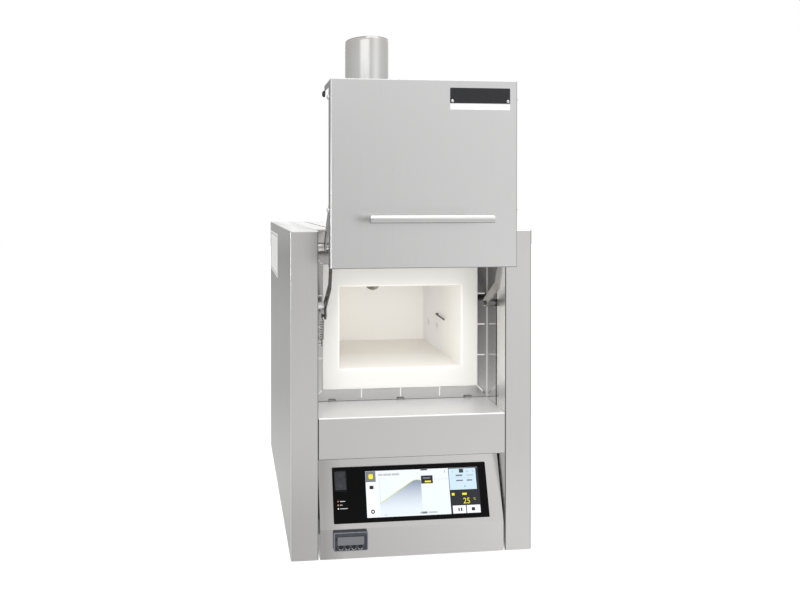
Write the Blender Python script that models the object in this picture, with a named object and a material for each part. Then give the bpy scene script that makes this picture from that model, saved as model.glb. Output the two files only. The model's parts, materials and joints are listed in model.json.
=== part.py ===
"""Preheating furnace with a lift door, in metres, +Z up, standing on the floor at Z = 0.

The door is raised. It hangs on two cranked levers and two straight links, which form a
parallelogram, so that it sweeps forward and down and stays upright. X is across the furnace,
Y is its depth and runs to the back, and the whole object is centred over the origin.
Within the furnace, places are measured from the columns' front plane and the casing's base.
"""

import math

import bmesh
import bpy
from mathutils import Matrix, Vector

X_AXIS, Y_AXIS, Z_AXIS = range(3)

# Modelling values
SEAM = 0.0003
OVERRUN = 0.004
TINY = 0.000001
FOLD_STEPS = 3
ROUND_STEPS = 32
PIN_STEPS = 20
ARC_STEPS = 8
SMOOTH_ANGLE = math.radians(35)
FULL_TURN = 2 * math.pi

# Casing
CASING_WIDTH = 0.385
CASING_DEPTH = 0.420
CASING_HEIGHT = 0.508
SHEET = 0.0012
FOLD_RADIUS = 0.0012
BEND_RADIUS = 0.0022
COLUMN_WIDTH = 0.043
COLUMN_RETURN = 0.022
REAR_FLANGE = 0.015

# Feet and base
FOOT_HEIGHT = 0.0025
FOOT_RADIUS = 0.013
FOOT_CHAMFER = 0.001
FOOT_INSET_X = 0.040
FOOT_INSET_FRONT = 0.025
FOOT_INSET_REAR = 0.050
TRAY_RAISE = 0.003
TRAY_RIM = 0.025

# Top cover and its vents
LIP_Y = 0.050
LIP_SET_BACK = 0.0125
LIP_DROP = 0.022
VENT_INSET = 0.0775
VENT_START_Y = 0.095
VENT_LENGTH = 0.038
VENT_WIDTH = 0.004
VENT_PITCH = 0.046
VENT_COUNT = 7

# Rear cover, its louvres and the inlet
LOUVRE_LENGTH = 0.060
LOUVRE_HEIGHT = 0.004
LOUVRE_PITCH_Z = 0.012
LOUVRE_PITCH_X = 0.085
LOUVRE_ROWS = 6
LOUVRE_COLUMNS = 3
LOUVRE_LOW_Z = 0.120
LOUVRE_HIGH_DROP = 0.108
INLET_INSET = 0.0725
INLET_Z = 0.060
INLET_WIDTH = 0.050
INLET_HEIGHT = 0.030
INLET_RIM = 0.004
INLET_DEPTH = 0.030
SOCKET_WIDTH = 0.030
SOCKET_HEIGHT = 0.020
SOCKET_DEPTH = 0.020
BLADE_LENGTH = 0.012
BLADE_THICKNESS = 0.002
BLADE_WIDTH = 0.005
BLADE_PITCH = 0.009
BLADE_COUNT = 3

# Recess, sill and front cover
FRAME_Y = 0.064
FRONT_COVER_BOTTOM = 0.154
FRAME_RISE = 0.036
FRONT_COVER_HEIGHT = 0.065
SILL_FALL = 0.0032
FRONT_COVER_RETURN = 0.012
SILL_TAB_WIDTH = 0.012
SILL_TAB_HEIGHT = 0.003
SILL_TAB_DEPTH = 0.003
SILL_TAB_PITCH = 0.116

# Fibre collar and the slots of the sheet round it
COLLAR_SIDE_GAP = 0.0168
COLLAR_ABOVE_SILL = 0.0194
COLLAR_UNDER_TOP = 0.058
COLLAR_PROUD = 0.0015
COLLAR_DEPTH = 0.083
SLOT_LENGTH = 0.015
SLOT_WIDTH = 0.0022
SLOT_PITCH_X_share = 0.2525
SLOT_PITCH_Z_share = 0.2495
SLOTS_PER_SIDE = 3
CORNER_SLOT = 0.0125

# Heated chamber and its insulation
COLLAR_SIDE = 0.0287
COLLAR_BELOW = 0.0344
COLLAR_ABOVE = 0.038
CHAMBER_DEPTH = 0.186
FLOOR_PLATE = 0.0047
HEATER_THICKNESS = 0.012
PACK_BESIDE = 0.0083
PACK_BELOW = 0.0156
PACK_ABOVE = 0.011
REAR_INSULATION = 0.0812
BACKING_THICKNESS = 0.012
BACKING_SIDE = 0.0055
EXHAUST_RADIUS = 0.017
EXHAUST_MOUTH_RADIUS = 0.016
EXHAUST_BELOW_ROOF = 0.0195
EXHAUST_TUBE_WALL = 0.002
EXHAUST_TUBE_HEIGHT = 0.042
EXHAUST_FOOT_RADIUS = 0.027
EXHAUST_FOOT_HEIGHT = 0.002
CRADLE_SIDE_GAP = 0.0015
CRADLE_SET_BACK = 0.001

# Thermocouple
PROBE_RADIUS = 0.0014
PROBE_BORE_RADIUS = 0.0019
PROBE_BACK_Y = 0.1700
PROBE_FRONT_Y = 0.1285
PROBE_BELOW_ROOF_share = 0.5074
PROBE_STAND_OFF = 0.0045
PROBE_OUTSIDE = 0.012
PROBE_DROP = 0.0025

# Chimney
CHIMNEY_BEHIND = 0.0495
CHIMNEY_RADIUS = 0.0451
CHIMNEY_HEIGHT = 0.378
CHIMNEY_BORE = 0.040
CHIMNEY_FLANGE_RADIUS = 0.062
CHIMNEY_FLANGE_HEIGHT = 0.002
CHIMNEY_NECK_HEIGHT = 0.024

# Control housing and its inclined panel, across (u), up the slope (v) and outward (w)
HOUSING_SIDE_GAP = 0.0027
HOUSING_DEPTH = 0.060
PANEL_FOLD_HEIGHT = 0.046
PANEL_SET_BACK = 0.025
GLASS_LEFT_EDGE = 0.0218
GLASS_RIGHT_EDGE = 0.0223
GLASS_LOW, GLASS_HIGH = 0.0080, 0.0890
GLASS_THICKNESS = 0.0012
GLASS_RIM = 0.0015
SCREEN_LEFT_EDGE = 0.0530
SCREEN_RIGHT_EDGE = 0.0132
SCREEN_LOW, SCREEN_HIGH = 0.0148, 0.0817
SCREEN_SINK = 0.0002
CONTROLLER_INSET = 0.0270
CONTROLLER_DEPTH = 0.028
LIGHT_INSET = 0.0077
LIGHT_TOP_V = 0.0399
LIGHT_PITCH = 0.0052
LIGHT_COUNT = 3
LIGHT_RADIUS = 0.0011
LIGHT_BAR_WIDTH = 0.0044
LIGHT_BAR_DEPTH = 0.004
ROCKER_INSET = 0.0038
ROCKER_WIDTH = 0.0174
ROCKER_LOW, ROCKER_HIGH = 0.0550, 0.0838
ROCKER_GAP = 0.0005
ROCKER_PIVOT_DEPTH = 0.003
ROCKER_RAISED = math.radians(30)
ROCKER_PRESSED = math.radians(16)
ROCKER_SKIRT = math.radians(12)
ROCKER_MIDDLE = 0.0042
ROCKER_PIN_RADIUS = 0.0010
ROCKER_PIN_LENGTH = 0.0010
SWITCH_WALL = 0.0018
SWITCH_DEPTH = 0.020
SWITCH_WELL = 0.0108

# Temperature limiter, in the vertical strip under the panel
LIMITER_INSET = 0.0473
LIMITER_Z = 0.02865
LIMITER_WIDTH = 0.0536
LIMITER_HEIGHT = 0.0290
LIMITER_PROUD = 0.004
LIMITER_CORNER = 0.002
LIMITER_BORDER = 0.003
LIMITER_RECESS = 0.0013
LIMITER_NECK_WIDTH = 0.048
LIMITER_NECK_HEIGHT = 0.0245
LIMITER_NECK_DEPTH = 0.040
LIMITER_CUT_GAP = 0.0005
WINDOW_WIDTH = 0.0415
WINDOW_HEIGHT = 0.0127
WINDOW_DROP = 0.0012
WINDOW_THICKNESS = 0.0008
KEY_COUNT = 4
KEY_PITCH = 0.0101
KEY_RADIUS = 0.0028
KEY_GAP = 0.00035
KEY_DROP = 0.0094
KEY_PROUD = 0.0012
KEY_LENGTH = 0.0042
KEY_TRAVEL = 0.0008
KEY_REAR_GAP = 0.0014

# Parts in the base
RELAY_SIZE = (0.045, 0.058, 0.028)
RELAY_INSET = (0.1025, 0.140)
TERMINAL_SIZE = (0.060, 0.025, 0.022)
TERMINAL_INSET = (0.1325, 0.120)

# Door
DOOR_SIDE_GAP = 0.0096
DOOR_OVER_SILL = 0.0206
DOOR_UNDER_TOP = 0.011
DOOR_CLEARANCE = 0.006
DOOR_ADVANCE_share = 0.2297872
DOOR_FLANGE = 0.018
DOOR_TOP_OVERHANG = 0.0005
DOOR_TOP_LIP = 0.009
DOOR_BOARD_INSET = 0.0159
DOOR_BOARD_MARGIN = 0.005
PLUG_STEP = 0.006
PLUG_GAP = 0.0006
RETAINER_LAP = 0.0025
RETAINER_MARGIN = 0.002

# Door handle
HANDLE_LENGTH = 0.1800
HANDLE_RADIUS = 0.006
HANDLE_X = -0.0006
HANDLE_RISE = 0.073
HANDLE_STAND_OFF = 0.032
HANDLE_POST_RADIUS = 0.005
HANDLE_POST_X = 0.070
HANDLE_CHAMFER = 0.0006

# Lift linkage
PIVOT_DEPTH_share = 0.1531915
PIVOT_DROP_share = 0.2936170
LINK_SPACING_share = 0.3957447
LEVER_LENGTH_share = 0.5553191
ELBOW_FORWARD_share = 0.3326
ELBOW_RISE_share = 0.2797
NECK_FORWARD_share = 0.4100
NECK_RISE_share = 0.5824
CRANK_RADIUS = 0.009
LEVER_THICKNESS = 0.003
LEVER_INSET = 0.0054
LEVER_HALF_WIDTH = 0.0063
TAIL_LENGTH = 0.0165
PIN_RADIUS = 0.003
PIN_GAP = 0.0003
PIN_HEAD_RADIUS = 0.0046
PIN_HEAD = 0.0020
PIVOT_HEAD = 0.0038
PIVOT_HEAD_RADIUS = 0.0036
PIVOT_SHOULDER_RADIUS = 0.006
BRACKET_THICKNESS = 0.002
BRACKET_MARGIN = 0.0085
BRACKET_SHOULDER_RADIUS = 0.0048

# Lift spring on the left lever's tail
SPRING_WIRE_RADIUS = 0.0006
SPRING_RADIUS = 0.0026
SPRING_PITCH = 0.0042
SPRING_TURNS = 8.0
SPRING_CURL_POINTS = 9
SPRING_STUD_RADIUS = 0.0015
SPRING_STUD_HEAD_RADIUS = 0.0034
SPRING_STUD_HEAD = 0.0010
SPRING_OFFSET = 0.0026
SPRING_LEAN = 0.008
HOOK_OVERLAP = math.radians(50)
LEAST_GAP = 0.0004

# Places worked out from the sizes above
BASE = FOOT_HEIGHT
TOP = BASE + CASING_HEIGHT
OUTER = CASING_WIDTH / 2
INNER = OUTER - COLUMN_WIDTH
VENT_X = OUTER - VENT_INSET
INLET_X = INLET_INSET - OUTER
LOUVRE_HIGH_Z = CASING_HEIGHT - LOUVRE_HIGH_DROP
CHIMNEY_TOP = CASING_HEIGHT + CHIMNEY_HEIGHT
TRAY_BOTTOM = BASE + TRAY_RAISE
TRAY_FLOOR = TRAY_BOTTOM + SHEET
UNDER_TOP = TOP - SHEET - SEAM
REAR_FACE = CASING_DEPTH - SHEET - SEAM

FRAME_BOTTOM = FRONT_COVER_BOTTOM + FRAME_RISE
SILL_FRONT_HEIGHT = FRONT_COVER_BOTTOM + FRONT_COVER_HEIGHT
SILL_REAR_HEIGHT = SILL_FRONT_HEIGHT + SILL_FALL
COLLAR_BOTTOM = SILL_REAR_HEIGHT + COLLAR_ABOVE_SILL
COLLAR_TOP = CASING_HEIGHT - COLLAR_UNDER_TOP
COLLAR_HALF = INNER - COLLAR_SIDE_GAP
SLOT_PITCH_X = 2 * COLLAR_HALF * SLOT_PITCH_X_share
SLOT_PITCH_Z = (COLLAR_TOP - COLLAR_BOTTOM) * SLOT_PITCH_Z_share
CHAMBER_BOTTOM = COLLAR_BOTTOM + COLLAR_BELOW
CHAMBER_TOP = COLLAR_TOP - COLLAR_ABOVE
CHAMBER_HALF = COLLAR_HALF - COLLAR_SIDE
PROBE_BELOW_ROOF = (CHAMBER_TOP - CHAMBER_BOTTOM) * PROBE_BELOW_ROOF_share
PACK_BOTTOM = COLLAR_BOTTOM - PACK_BELOW
PACK_TOP = COLLAR_TOP + PACK_ABOVE
PACK_HALF_WIDTH = COLLAR_HALF + PACK_BESIDE
CRADLE_HALF_WIDTH = PACK_HALF_WIDTH + CRADLE_SIDE_GAP
COLLAR_FRONT = FRAME_Y - COLLAR_PROUD
COLLAR_REAR = COLLAR_FRONT + COLLAR_DEPTH
CHAMBER_REAR = COLLAR_FRONT + CHAMBER_DEPTH
CHIMNEY_Y = CHAMBER_REAR + CHIMNEY_BEHIND
BACKING_FRONT = FRAME_Y + SHEET + 2 * SEAM
BACKING_REAR = BACKING_FRONT + BACKING_THICKNESS
PACK_REAR = CHAMBER_REAR + SEAM + REAR_INSULATION

HOUSING_HALF_WIDTH = INNER - HOUSING_SIDE_GAP
PANEL_TILT = math.atan2(PANEL_SET_BACK, FRONT_COVER_BOTTOM - PANEL_FOLD_HEIGHT)
GLASS_LEFT = GLASS_LEFT_EDGE - HOUSING_HALF_WIDTH
GLASS_RIGHT = HOUSING_HALF_WIDTH - GLASS_RIGHT_EDGE
SCREEN_LEFT = GLASS_LEFT + SCREEN_LEFT_EDGE
SCREEN_RIGHT = GLASS_RIGHT - SCREEN_RIGHT_EDGE
CONTROLLER_LEFT = GLASS_LEFT + CONTROLLER_INSET
LIGHT_U = GLASS_LEFT + LIGHT_INSET
ROCKER_LEFT = GLASS_LEFT + ROCKER_INSET
ROCKER_RIGHT = ROCKER_LEFT + ROCKER_WIDTH
LIMITER_X = LIMITER_INSET - HOUSING_HALF_WIDTH
KEY_POCKET = KEY_LENGTH - KEY_PROUD + KEY_TRAVEL + KEY_REAR_GAP
RELAY_PLACE = (OUTER - RELAY_INSET[0], CASING_DEPTH - RELAY_INSET[1])
TERMINAL_PLACE = (TERMINAL_INSET[0] - OUTER, CASING_DEPTH - TERMINAL_INSET[1])

CLOSED_BOTTOM = COLLAR_BOTTOM - DOOR_OVER_SILL
DOOR_BOTTOM = COLLAR_TOP + DOOR_CLEARANCE
DOOR_LIFT = DOOR_BOTTOM - CLOSED_BOTTOM
DOOR_ADVANCE = DOOR_LIFT * DOOR_ADVANCE_share
DOOR_HEIGHT = CASING_HEIGHT - DOOR_UNDER_TOP - CLOSED_BOTTOM
DOOR_TOP_DEPTH = DOOR_ADVANCE + DOOR_TOP_OVERHANG
DOOR_HALF = INNER - DOOR_SIDE_GAP
DOOR_BOARD_HALF = DOOR_HALF - DOOR_BOARD_INSET
DOOR_FRONT = -DOOR_ADVANCE
DOOR_BASE = BASE + DOOR_BOTTOM
DOOR_TOP = DOOR_BASE + DOOR_HEIGHT
HANDLE_Y = -DOOR_ADVANCE - HANDLE_STAND_OFF
FRONT_EXTENT = HANDLE_Y - HANDLE_RADIUS
CENTRE_Y = (FRONT_EXTENT + CASING_DEPTH) / 2

PIVOT_Y = DOOR_LIFT * PIVOT_DEPTH_share
LOWER_PIVOT_HEIGHT = DOOR_BOTTOM - DOOR_LIFT * PIVOT_DROP_share
LINK_SPACING = DOOR_LIFT * LINK_SPACING_share
LEVER_LENGTH = DOOR_LIFT * LEVER_LENGTH_share
LEVER_OUTER_X = DOOR_HALF - LEVER_INSET
LEVER_INNER_X = LEVER_OUTER_X - LEVER_THICKNESS


def raised_pivot():
    """Place (Y, Z) of the lower door pivot with the door up, from its travel and the lever's length."""
    travel = math.hypot(DOOR_ADVANCE, DOOR_LIFT)
    sag = math.sqrt(LEVER_LENGTH**2 - (travel / 2) ** 2)
    back = DOOR_ADVANCE / 2 + sag * DOOR_LIFT / travel
    rise = DOOR_LIFT / 2 - sag * DOOR_ADVANCE / travel
    return PIVOT_Y - back, BASE + LOWER_PIVOT_HEIGHT + rise


LOWER_PIVOT = Vector((0, PIVOT_Y, BASE + LOWER_PIVOT_HEIGHT))
UPPER_PIVOT = LOWER_PIVOT + Vector((0, 0, LINK_SPACING))
DOOR_LOWER_PIVOT = Vector((0, *raised_pivot()))
DOOR_UPPER_PIVOT = DOOR_LOWER_PIVOT + Vector((0, 0, LINK_SPACING))

# Finishes: colour, roughness, metallic
BRUSHED = ((0.63, 0.63, 0.62), 0.34, 1.0)
POLISHED = ((0.72, 0.72, 0.72), 0.18, 1.0)
ZINC = ((0.55, 0.56, 0.58), 0.45, 1.0)
FIBRE = ((0.93, 0.91, 0.87), 0.95, 0.0)
CERAMIC = ((0.90, 0.87, 0.82), 0.85, 0.0)
BLACK_GLASS = ((0.012, 0.012, 0.014), 0.06, 0.0)
SCREEN = ((0.80, 0.88, 0.98), 0.12, 0.0)
DARK_PLASTIC = ((0.030, 0.034, 0.042), 0.40, 0.0)
SLATE_PLASTIC = ((0.075, 0.085, 0.105), 0.45, 0.0)
WINDOW = ((0.16, 0.17, 0.18), 0.15, 0.0)
LIGHT = ((0.85, 0.75, 0.55), 0.25, 0.0)
RUBBER = ((0.025, 0.025, 0.025), 0.80, 0.0)
SPRING_STEEL = ((0.42, 0.41, 0.40), 0.35, 1.0)


def clear_scene():
    """Removes whatever the scene holds."""
    for item in list(bpy.data.objects):
        bpy.data.objects.remove(item, do_unlink=True)


def frame_at(name, place, parent=None):
    """An empty at a place in its parent's coordinates."""
    empty = bpy.data.objects.new(name, None)
    bpy.context.scene.collection.objects.link(empty)
    empty.parent = parent
    empty.location = place
    return empty


def coloured(name, finish):
    """A material of its own for one piece."""
    colour, roughness, metallic = finish
    made = bpy.data.materials.new(name)
    made.use_nodes = True
    shader = made.node_tree.nodes["Principled BSDF"]
    shader.inputs["Base Color"].default_value = (*colour, 1)
    shader.inputs["Roughness"].default_value = roughness
    shader.inputs["Metallic"].default_value = metallic
    return made


def place_object(name, data, finish, parent, origin):
    """Links an object whose mesh is in its parent's coordinates, with its origin at a place there."""
    data.transform(Matrix.Translation(-Vector(origin)))
    made = bpy.data.objects.new(name, data)
    bpy.context.scene.collection.objects.link(made)
    made.parent = parent
    made.location = origin
    if finish:
        data.materials.append(coloured(name + "_finish", finish))
    return made


def solid(name, bm, finish, parent, origin=(0, 0, 0)):
    """A mesh object from a bmesh whose faces are turned outwards first."""
    bmesh.ops.recalc_face_normals(bm, faces=bm.faces)
    data = bpy.data.meshes.new(name)
    bm.to_mesh(data)
    bm.free()
    data.shade_smooth()
    data.set_sharp_from_angle(angle=SMOOTH_ANGLE)
    return place_object(name, data, finish, parent, origin)


def add_block(bm, low, high):
    """Adds a box between two corners given in any order."""
    pairs = [sorted(pair) for pair in zip(low, high)]
    size = Matrix.Diagonal([upper - lower for lower, upper in pairs] + [1])
    middle = Vector([(lower + upper) / 2 for lower, upper in pairs])
    bmesh.ops.create_cube(bm, size=1, matrix=Matrix.Translation(middle) @ size)


def add_prism(bm, outline, axis, start, end):
    """Adds an outline drawn across an axis and pulled along it; its pairs follow X, Y, Z order."""
    def lifted(pair, along):
        place = list(pair)
        place.insert(axis, along)
        return place

    near = [bm.verts.new(lifted(pair, start)) for pair in outline]
    far = [bm.verts.new(lifted(pair, end)) for pair in outline]
    bm.faces.new(near)
    bm.faces.new(far[::-1])
    for one in range(len(outline)):
        other = (one + 1) % len(outline)
        bm.faces.new((near[one], far[one], far[other], near[other]))


def add_turned(bm, profile, axis, centre, steps, outward=1):
    """Adds a turned solid: profile pairs are radius and place along the axis, round a centre."""
    first, second = [other for other in range(3) if other != axis]
    rings = []
    for radius, along in profile:
        ring = []
        for step in range(steps if radius > TINY else 1):
            angle = FULL_TURN * step / steps
            place = [0.0, 0.0, 0.0]
            place[axis] = centre[axis] + outward * along
            place[first] = centre[first] + radius * math.cos(angle)
            place[second] = centre[second] + radius * math.sin(angle)
            ring.append(bm.verts.new(place))
        rings.append(ring)
    closed = profile[0][0] > TINY
    pairs = list(zip(rings, rings[1:] + (rings[:1] if closed else [])))
    for lower, upper in pairs if closed else pairs[: len(rings) - 1]:
        for step in range(steps):
            after = (step + 1) % steps
            corners = [lower[step % len(lower)], lower[after % len(lower)]]
            corners += [upper[after % len(upper)], upper[step % len(upper)]]
            unique = list(dict.fromkeys(corners))
            bm.faces.new(unique)


def fold_edges(bm, folds, radius):
    """Rounds each edge that lies on both planes of a fold; a plane is an axis and a place on it."""
    def lies_on(vertex, plane):
        return abs(vertex.co[plane[0]] - plane[1]) < TINY

    chosen = [
        edge
        for edge in bm.edges
        if any(all(lies_on(v, plane) for v in edge.verts for plane in fold) for fold in folds)
    ]
    bmesh.ops.bevel(
        bm, geom=chosen, offset=radius, segments=FOLD_STEPS, profile=0.5, affect="EDGES"
    )


def block(name, low, high, finish, parent, folds=(), radius=FOLD_RADIUS, origin=(0, 0, 0)):
    """A box as an object, with the named folds rounded."""
    bm = bmesh.new()
    add_block(bm, low, high)
    if folds:
        fold_edges(bm, folds, radius)
    return solid(name, bm, finish, parent, origin)


def cutter(name, parent, boxes=(), prisms=(), turned=()):
    """A hidden helper made of boxes, prisms and turned shapes that stay apart from each other."""
    bm = bmesh.new()
    for low, high in boxes:
        add_block(bm, low, high)
    for values in prisms:
        add_prism(bm, *values)
    for values in turned:
        add_turned(bm, *values)
    helper = solid(name, bm, None, parent)
    helper.hide_render = True
    helper.display_type = "WIRE"
    return helper


def carve(body, *helpers, operation="DIFFERENCE"):
    """Cuts helpers from a body, or joins them to it, and returns the body."""
    for helper in helpers:
        modifier = body.modifiers.new(helper.name, "BOOLEAN")
        modifier.operation = operation
        modifier.solver = "EXACT"
        modifier.object = helper
    return body


def join(body, *helpers):
    """Joins helpers to a body."""
    return carve(body, *helpers, operation="UNION")


def offset_path(path, distance):
    """A path moved to its left by a distance, mitred at each bend."""
    points = [Vector(point) for point in path]
    ways = [(after - before).normalized() for before, after in zip(points, points[1:])]
    lefts = [Vector((-way.y, way.x)) for way in ways]
    moved = [points[0] + lefts[0] * distance]
    for point, before, after in zip(points[1:], lefts, lefts[1:]):
        moved.append(point + (before + after) * (distance / (1 + before.dot(after))))
    moved.append(points[-1] + lefts[-1] * distance)
    return moved


def rounded(path, radius):
    """A path with each of its bends turned into an arc."""
    points = [Vector(point) for point in path]
    made = [points[0]]
    for before, corner, after in zip(points, points[1:], points[2:]):
        inward, outward = (before - corner).normalized(), (after - corner).normalized()
        half_angle = inward.angle(outward) / 2
        centre = corner + (inward + outward).normalized() * (radius / math.sin(half_angle))
        start = corner + inward * (radius / math.tan(half_angle)) - centre
        end = corner + outward * (radius / math.tan(half_angle)) - centre
        sweep = math.atan2(start.x * end.y - start.y * end.x, start.dot(end))
        for step in range(FOLD_STEPS + 1):
            made.append(centre + Matrix.Rotation(sweep * step / FOLD_STEPS, 2) @ start)
    return made + [points[-1]]


def sheet_outline(path, thickness):
    """The closed outline of a folded sheet whose one face follows a path."""
    return [Vector(point) for point in path] + offset_path(path, thickness)[::-1]


def band_outline(path, half_width):
    """A bar of even width along a path, with round ends."""
    left = offset_path(path, half_width)
    right = offset_path(path, -half_width)

    def round_end(centre, start):
        arm = start - centre
        turns = [Matrix.Rotation(-math.pi * step / ARC_STEPS, 2) for step in range(1, ARC_STEPS)]
        return [centre + turn @ arm for turn in turns]

    end = round_end(Vector(path[-1]), left[-1])
    start = round_end(Vector(path[0]), right[0])
    return left + end + right[::-1] + start


def pierced(low, high, centre_x, pitch, count):
    """Boxes of one size repeated along X about a centre."""
    places = [centre_x + place for place in spaced(pitch, count)]
    return [((x + low[0], *low[1:]), (x + high[0], *high[1:])) for x in places]


def build_feet(furnace):
    """Four rubber feet under the tray."""
    top = TRAY_BOTTOM - SEAM
    profile = [(0, 0), (FOOT_RADIUS - FOOT_CHAMFER, 0), (FOOT_RADIUS, FOOT_CHAMFER)]
    profile += [(FOOT_RADIUS, top), (0, top)]
    front = HOUSING_DEPTH + FOOT_INSET_FRONT
    rear = CASING_DEPTH - FOOT_INSET_REAR
    for depth, y in (("front", front), ("rear", rear)):
        for side, sign in (("left", -1), ("right", 1)):
            place = (sign * (OUTER - FOOT_INSET_X), y, 0)
            bm = bmesh.new()
            add_turned(bm, profile, Z_AXIS, place, ROUND_STEPS)
            solid(f"foot_{depth}_{side}", bm, RUBBER, furnace, place)


def build_tray(furnace):
    """Base tray behind the control housing."""
    half = OUTER - SHEET - SEAM
    front = HOUSING_DEPTH + SEAM
    rear = REAR_FACE - SHEET - SEAM
    rim = TRAY_BOTTOM + TRAY_RIM
    folds = [((Z_AXIS, TRAY_BOTTOM), (axis, at)) for axis, at in
             ((X_AXIS, -half), (X_AXIS, half), (Y_AXIS, front), (Y_AXIS, rear))]
    tray = block("base_tray", (-half, front, TRAY_BOTTOM), (half, rear, rim), ZINC, furnace, folds)
    inside = ((-half + SHEET, front + SHEET, TRAY_FLOOR), (half - SHEET, rear - SHEET, rim + OVERRUN))
    carve(tray, cutter("tray_inside", furnace, [inside]))


def build_side_cover(furnace, side, sign):
    """One side cover: outer wall, front column, its return, top strip and rear flange."""
    def at(x):
        return sign * x

    folds = [
        ((X_AXIS, at(OUTER)), (Y_AXIS, 0)),
        ((X_AXIS, at(INNER)), (Y_AXIS, 0)),
        ((X_AXIS, at(OUTER)), (Y_AXIS, CASING_DEPTH)),
        ((X_AXIS, at(OUTER)), (Z_AXIS, TOP)),
        ((Y_AXIS, 0), (Z_AXIS, TOP)),
    ]
    low, high = (at(INNER), 0, BASE), (at(OUTER), CASING_DEPTH, TOP)
    cover = block(f"side_cover_{side}", low, high, BRUSHED, furnace, folds)
    hollow = (
        (at(INNER + SHEET), SHEET, BASE - OVERRUN),
        (at(OUTER - SHEET), CASING_DEPTH - SHEET, TOP - SHEET),
    )
    open_side = (
        (at(INNER - OVERRUN), COLUMN_RETURN, BASE - OVERRUN),
        (at(OUTER - REAR_FLANGE), CASING_DEPTH + OVERRUN, TOP - SHEET),
    )
    carve(cover, cutter(f"side_hollow_{side}", furnace, [hollow]))
    carve(cover, cutter(f"side_opening_{side}", furnace, [open_side]))


def build_top_cover(furnace):
    """Top plate with its vents, chimney hole and the sloping lip at the front."""
    half = INNER - SEAM
    path = [(LIP_Y + LIP_SET_BACK, TOP - LIP_DROP), (LIP_Y, TOP), (CASING_DEPTH, TOP)]
    bm = bmesh.new()
    add_prism(bm, sheet_outline(rounded(path, BEND_RADIUS), -SHEET), X_AXIS, -half, half)
    cover = solid("top_cover", bm, BRUSHED, furnace)
    low, high = TOP - SHEET - OVERRUN, TOP + OVERRUN
    vents = []
    for sign in (-1, 1):
        for step in range(VENT_COUNT):
            start = VENT_START_Y + VENT_PITCH * step
            middle = sign * VENT_X
            near = (middle - VENT_WIDTH / 2, start, low)
            far = (middle + VENT_WIDTH / 2, start + VENT_LENGTH, high)
            vents.append((near, far))
    hole = [(0, low), (CHIMNEY_BORE, low), (CHIMNEY_BORE, high), (0, high)]
    turned = [(hole, Z_AXIS, (0, CHIMNEY_Y, 0), ROUND_STEPS)]
    carve(cover, cutter("top_vents", furnace, vents), cutter("top_hole", furnace, turned=turned))


def build_rear_cover(furnace):
    """Rear plate with two fields of louvres and the hole for the inlet."""
    half = OUTER - SHEET - SEAM
    front, rear = REAR_FACE - SHEET, REAR_FACE
    cover = block("rear_cover", (-half, front, TRAY_BOTTOM), (half, rear, UNDER_TOP), BRUSHED, furnace)
    louvres = []
    for start in (LOUVRE_LOW_Z, LOUVRE_HIGH_Z):
        for row in range(LOUVRE_ROWS):
            z = BASE + start + LOUVRE_PITCH_Z * row
            near = (-LOUVRE_LENGTH / 2, front - OVERRUN, z)
            far = (LOUVRE_LENGTH / 2, rear + OVERRUN, z + LOUVRE_HEIGHT)
            louvres += pierced(near, far, 0, LOUVRE_PITCH_X, LOUVRE_COLUMNS)
    inlet = inlet_box(INLET_RIM - SEAM, front - OVERRUN, rear + OVERRUN)
    carve(cover, cutter("rear_louvres", furnace, louvres), cutter("inlet_hole", furnace, [inlet]))


def inlet_box(border, near, far):
    """A box about the inlet's middle, inside its rim by a border, between two depths."""
    half_width, half_height = INLET_WIDTH / 2 - border, INLET_HEIGHT / 2 - border
    z = BASE + INLET_Z
    return (INLET_X - half_width, near, z - half_height), (INLET_X + half_width, far, z + half_height)


def build_inlet(furnace):
    """Appliance inlet in the rear cover: a rim outside, a body inside and three contact blades."""
    rim = inlet_box(0, REAR_FACE + SEAM, REAR_FACE + SEAM + SHEET)
    inlet = block("power_inlet", *rim, DARK_PLASTIC, furnace)
    outside = REAR_FACE + SEAM + SHEET
    body = inlet_box(INLET_RIM, outside - INLET_DEPTH, outside - SHEET / 2)
    z = BASE + INLET_Z
    socket = (
        (INLET_X - SOCKET_WIDTH / 2, outside - SOCKET_DEPTH, z - SOCKET_HEIGHT / 2),
        (INLET_X + SOCKET_WIDTH / 2, outside + OVERRUN, z + SOCKET_HEIGHT / 2),
    )
    near = (-BLADE_THICKNESS / 2, outside - SOCKET_DEPTH - SHEET, z - BLADE_WIDTH / 2)
    far = (BLADE_THICKNESS / 2, outside - SOCKET_DEPTH + BLADE_LENGTH, z + BLADE_WIDTH / 2)
    blades = pierced(near, far, INLET_X, BLADE_PITCH, BLADE_COUNT)
    join(inlet, cutter("inlet_body", furnace, [body]))
    carve(inlet, cutter("inlet_socket", furnace, [socket]))
    join(inlet, cutter("inlet_blades", furnace, blades))


def spaced(pitch, count):
    """Places spaced by a pitch about zero."""
    return [pitch * (step - (count - 1) / 2) for step in range(count)]


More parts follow.
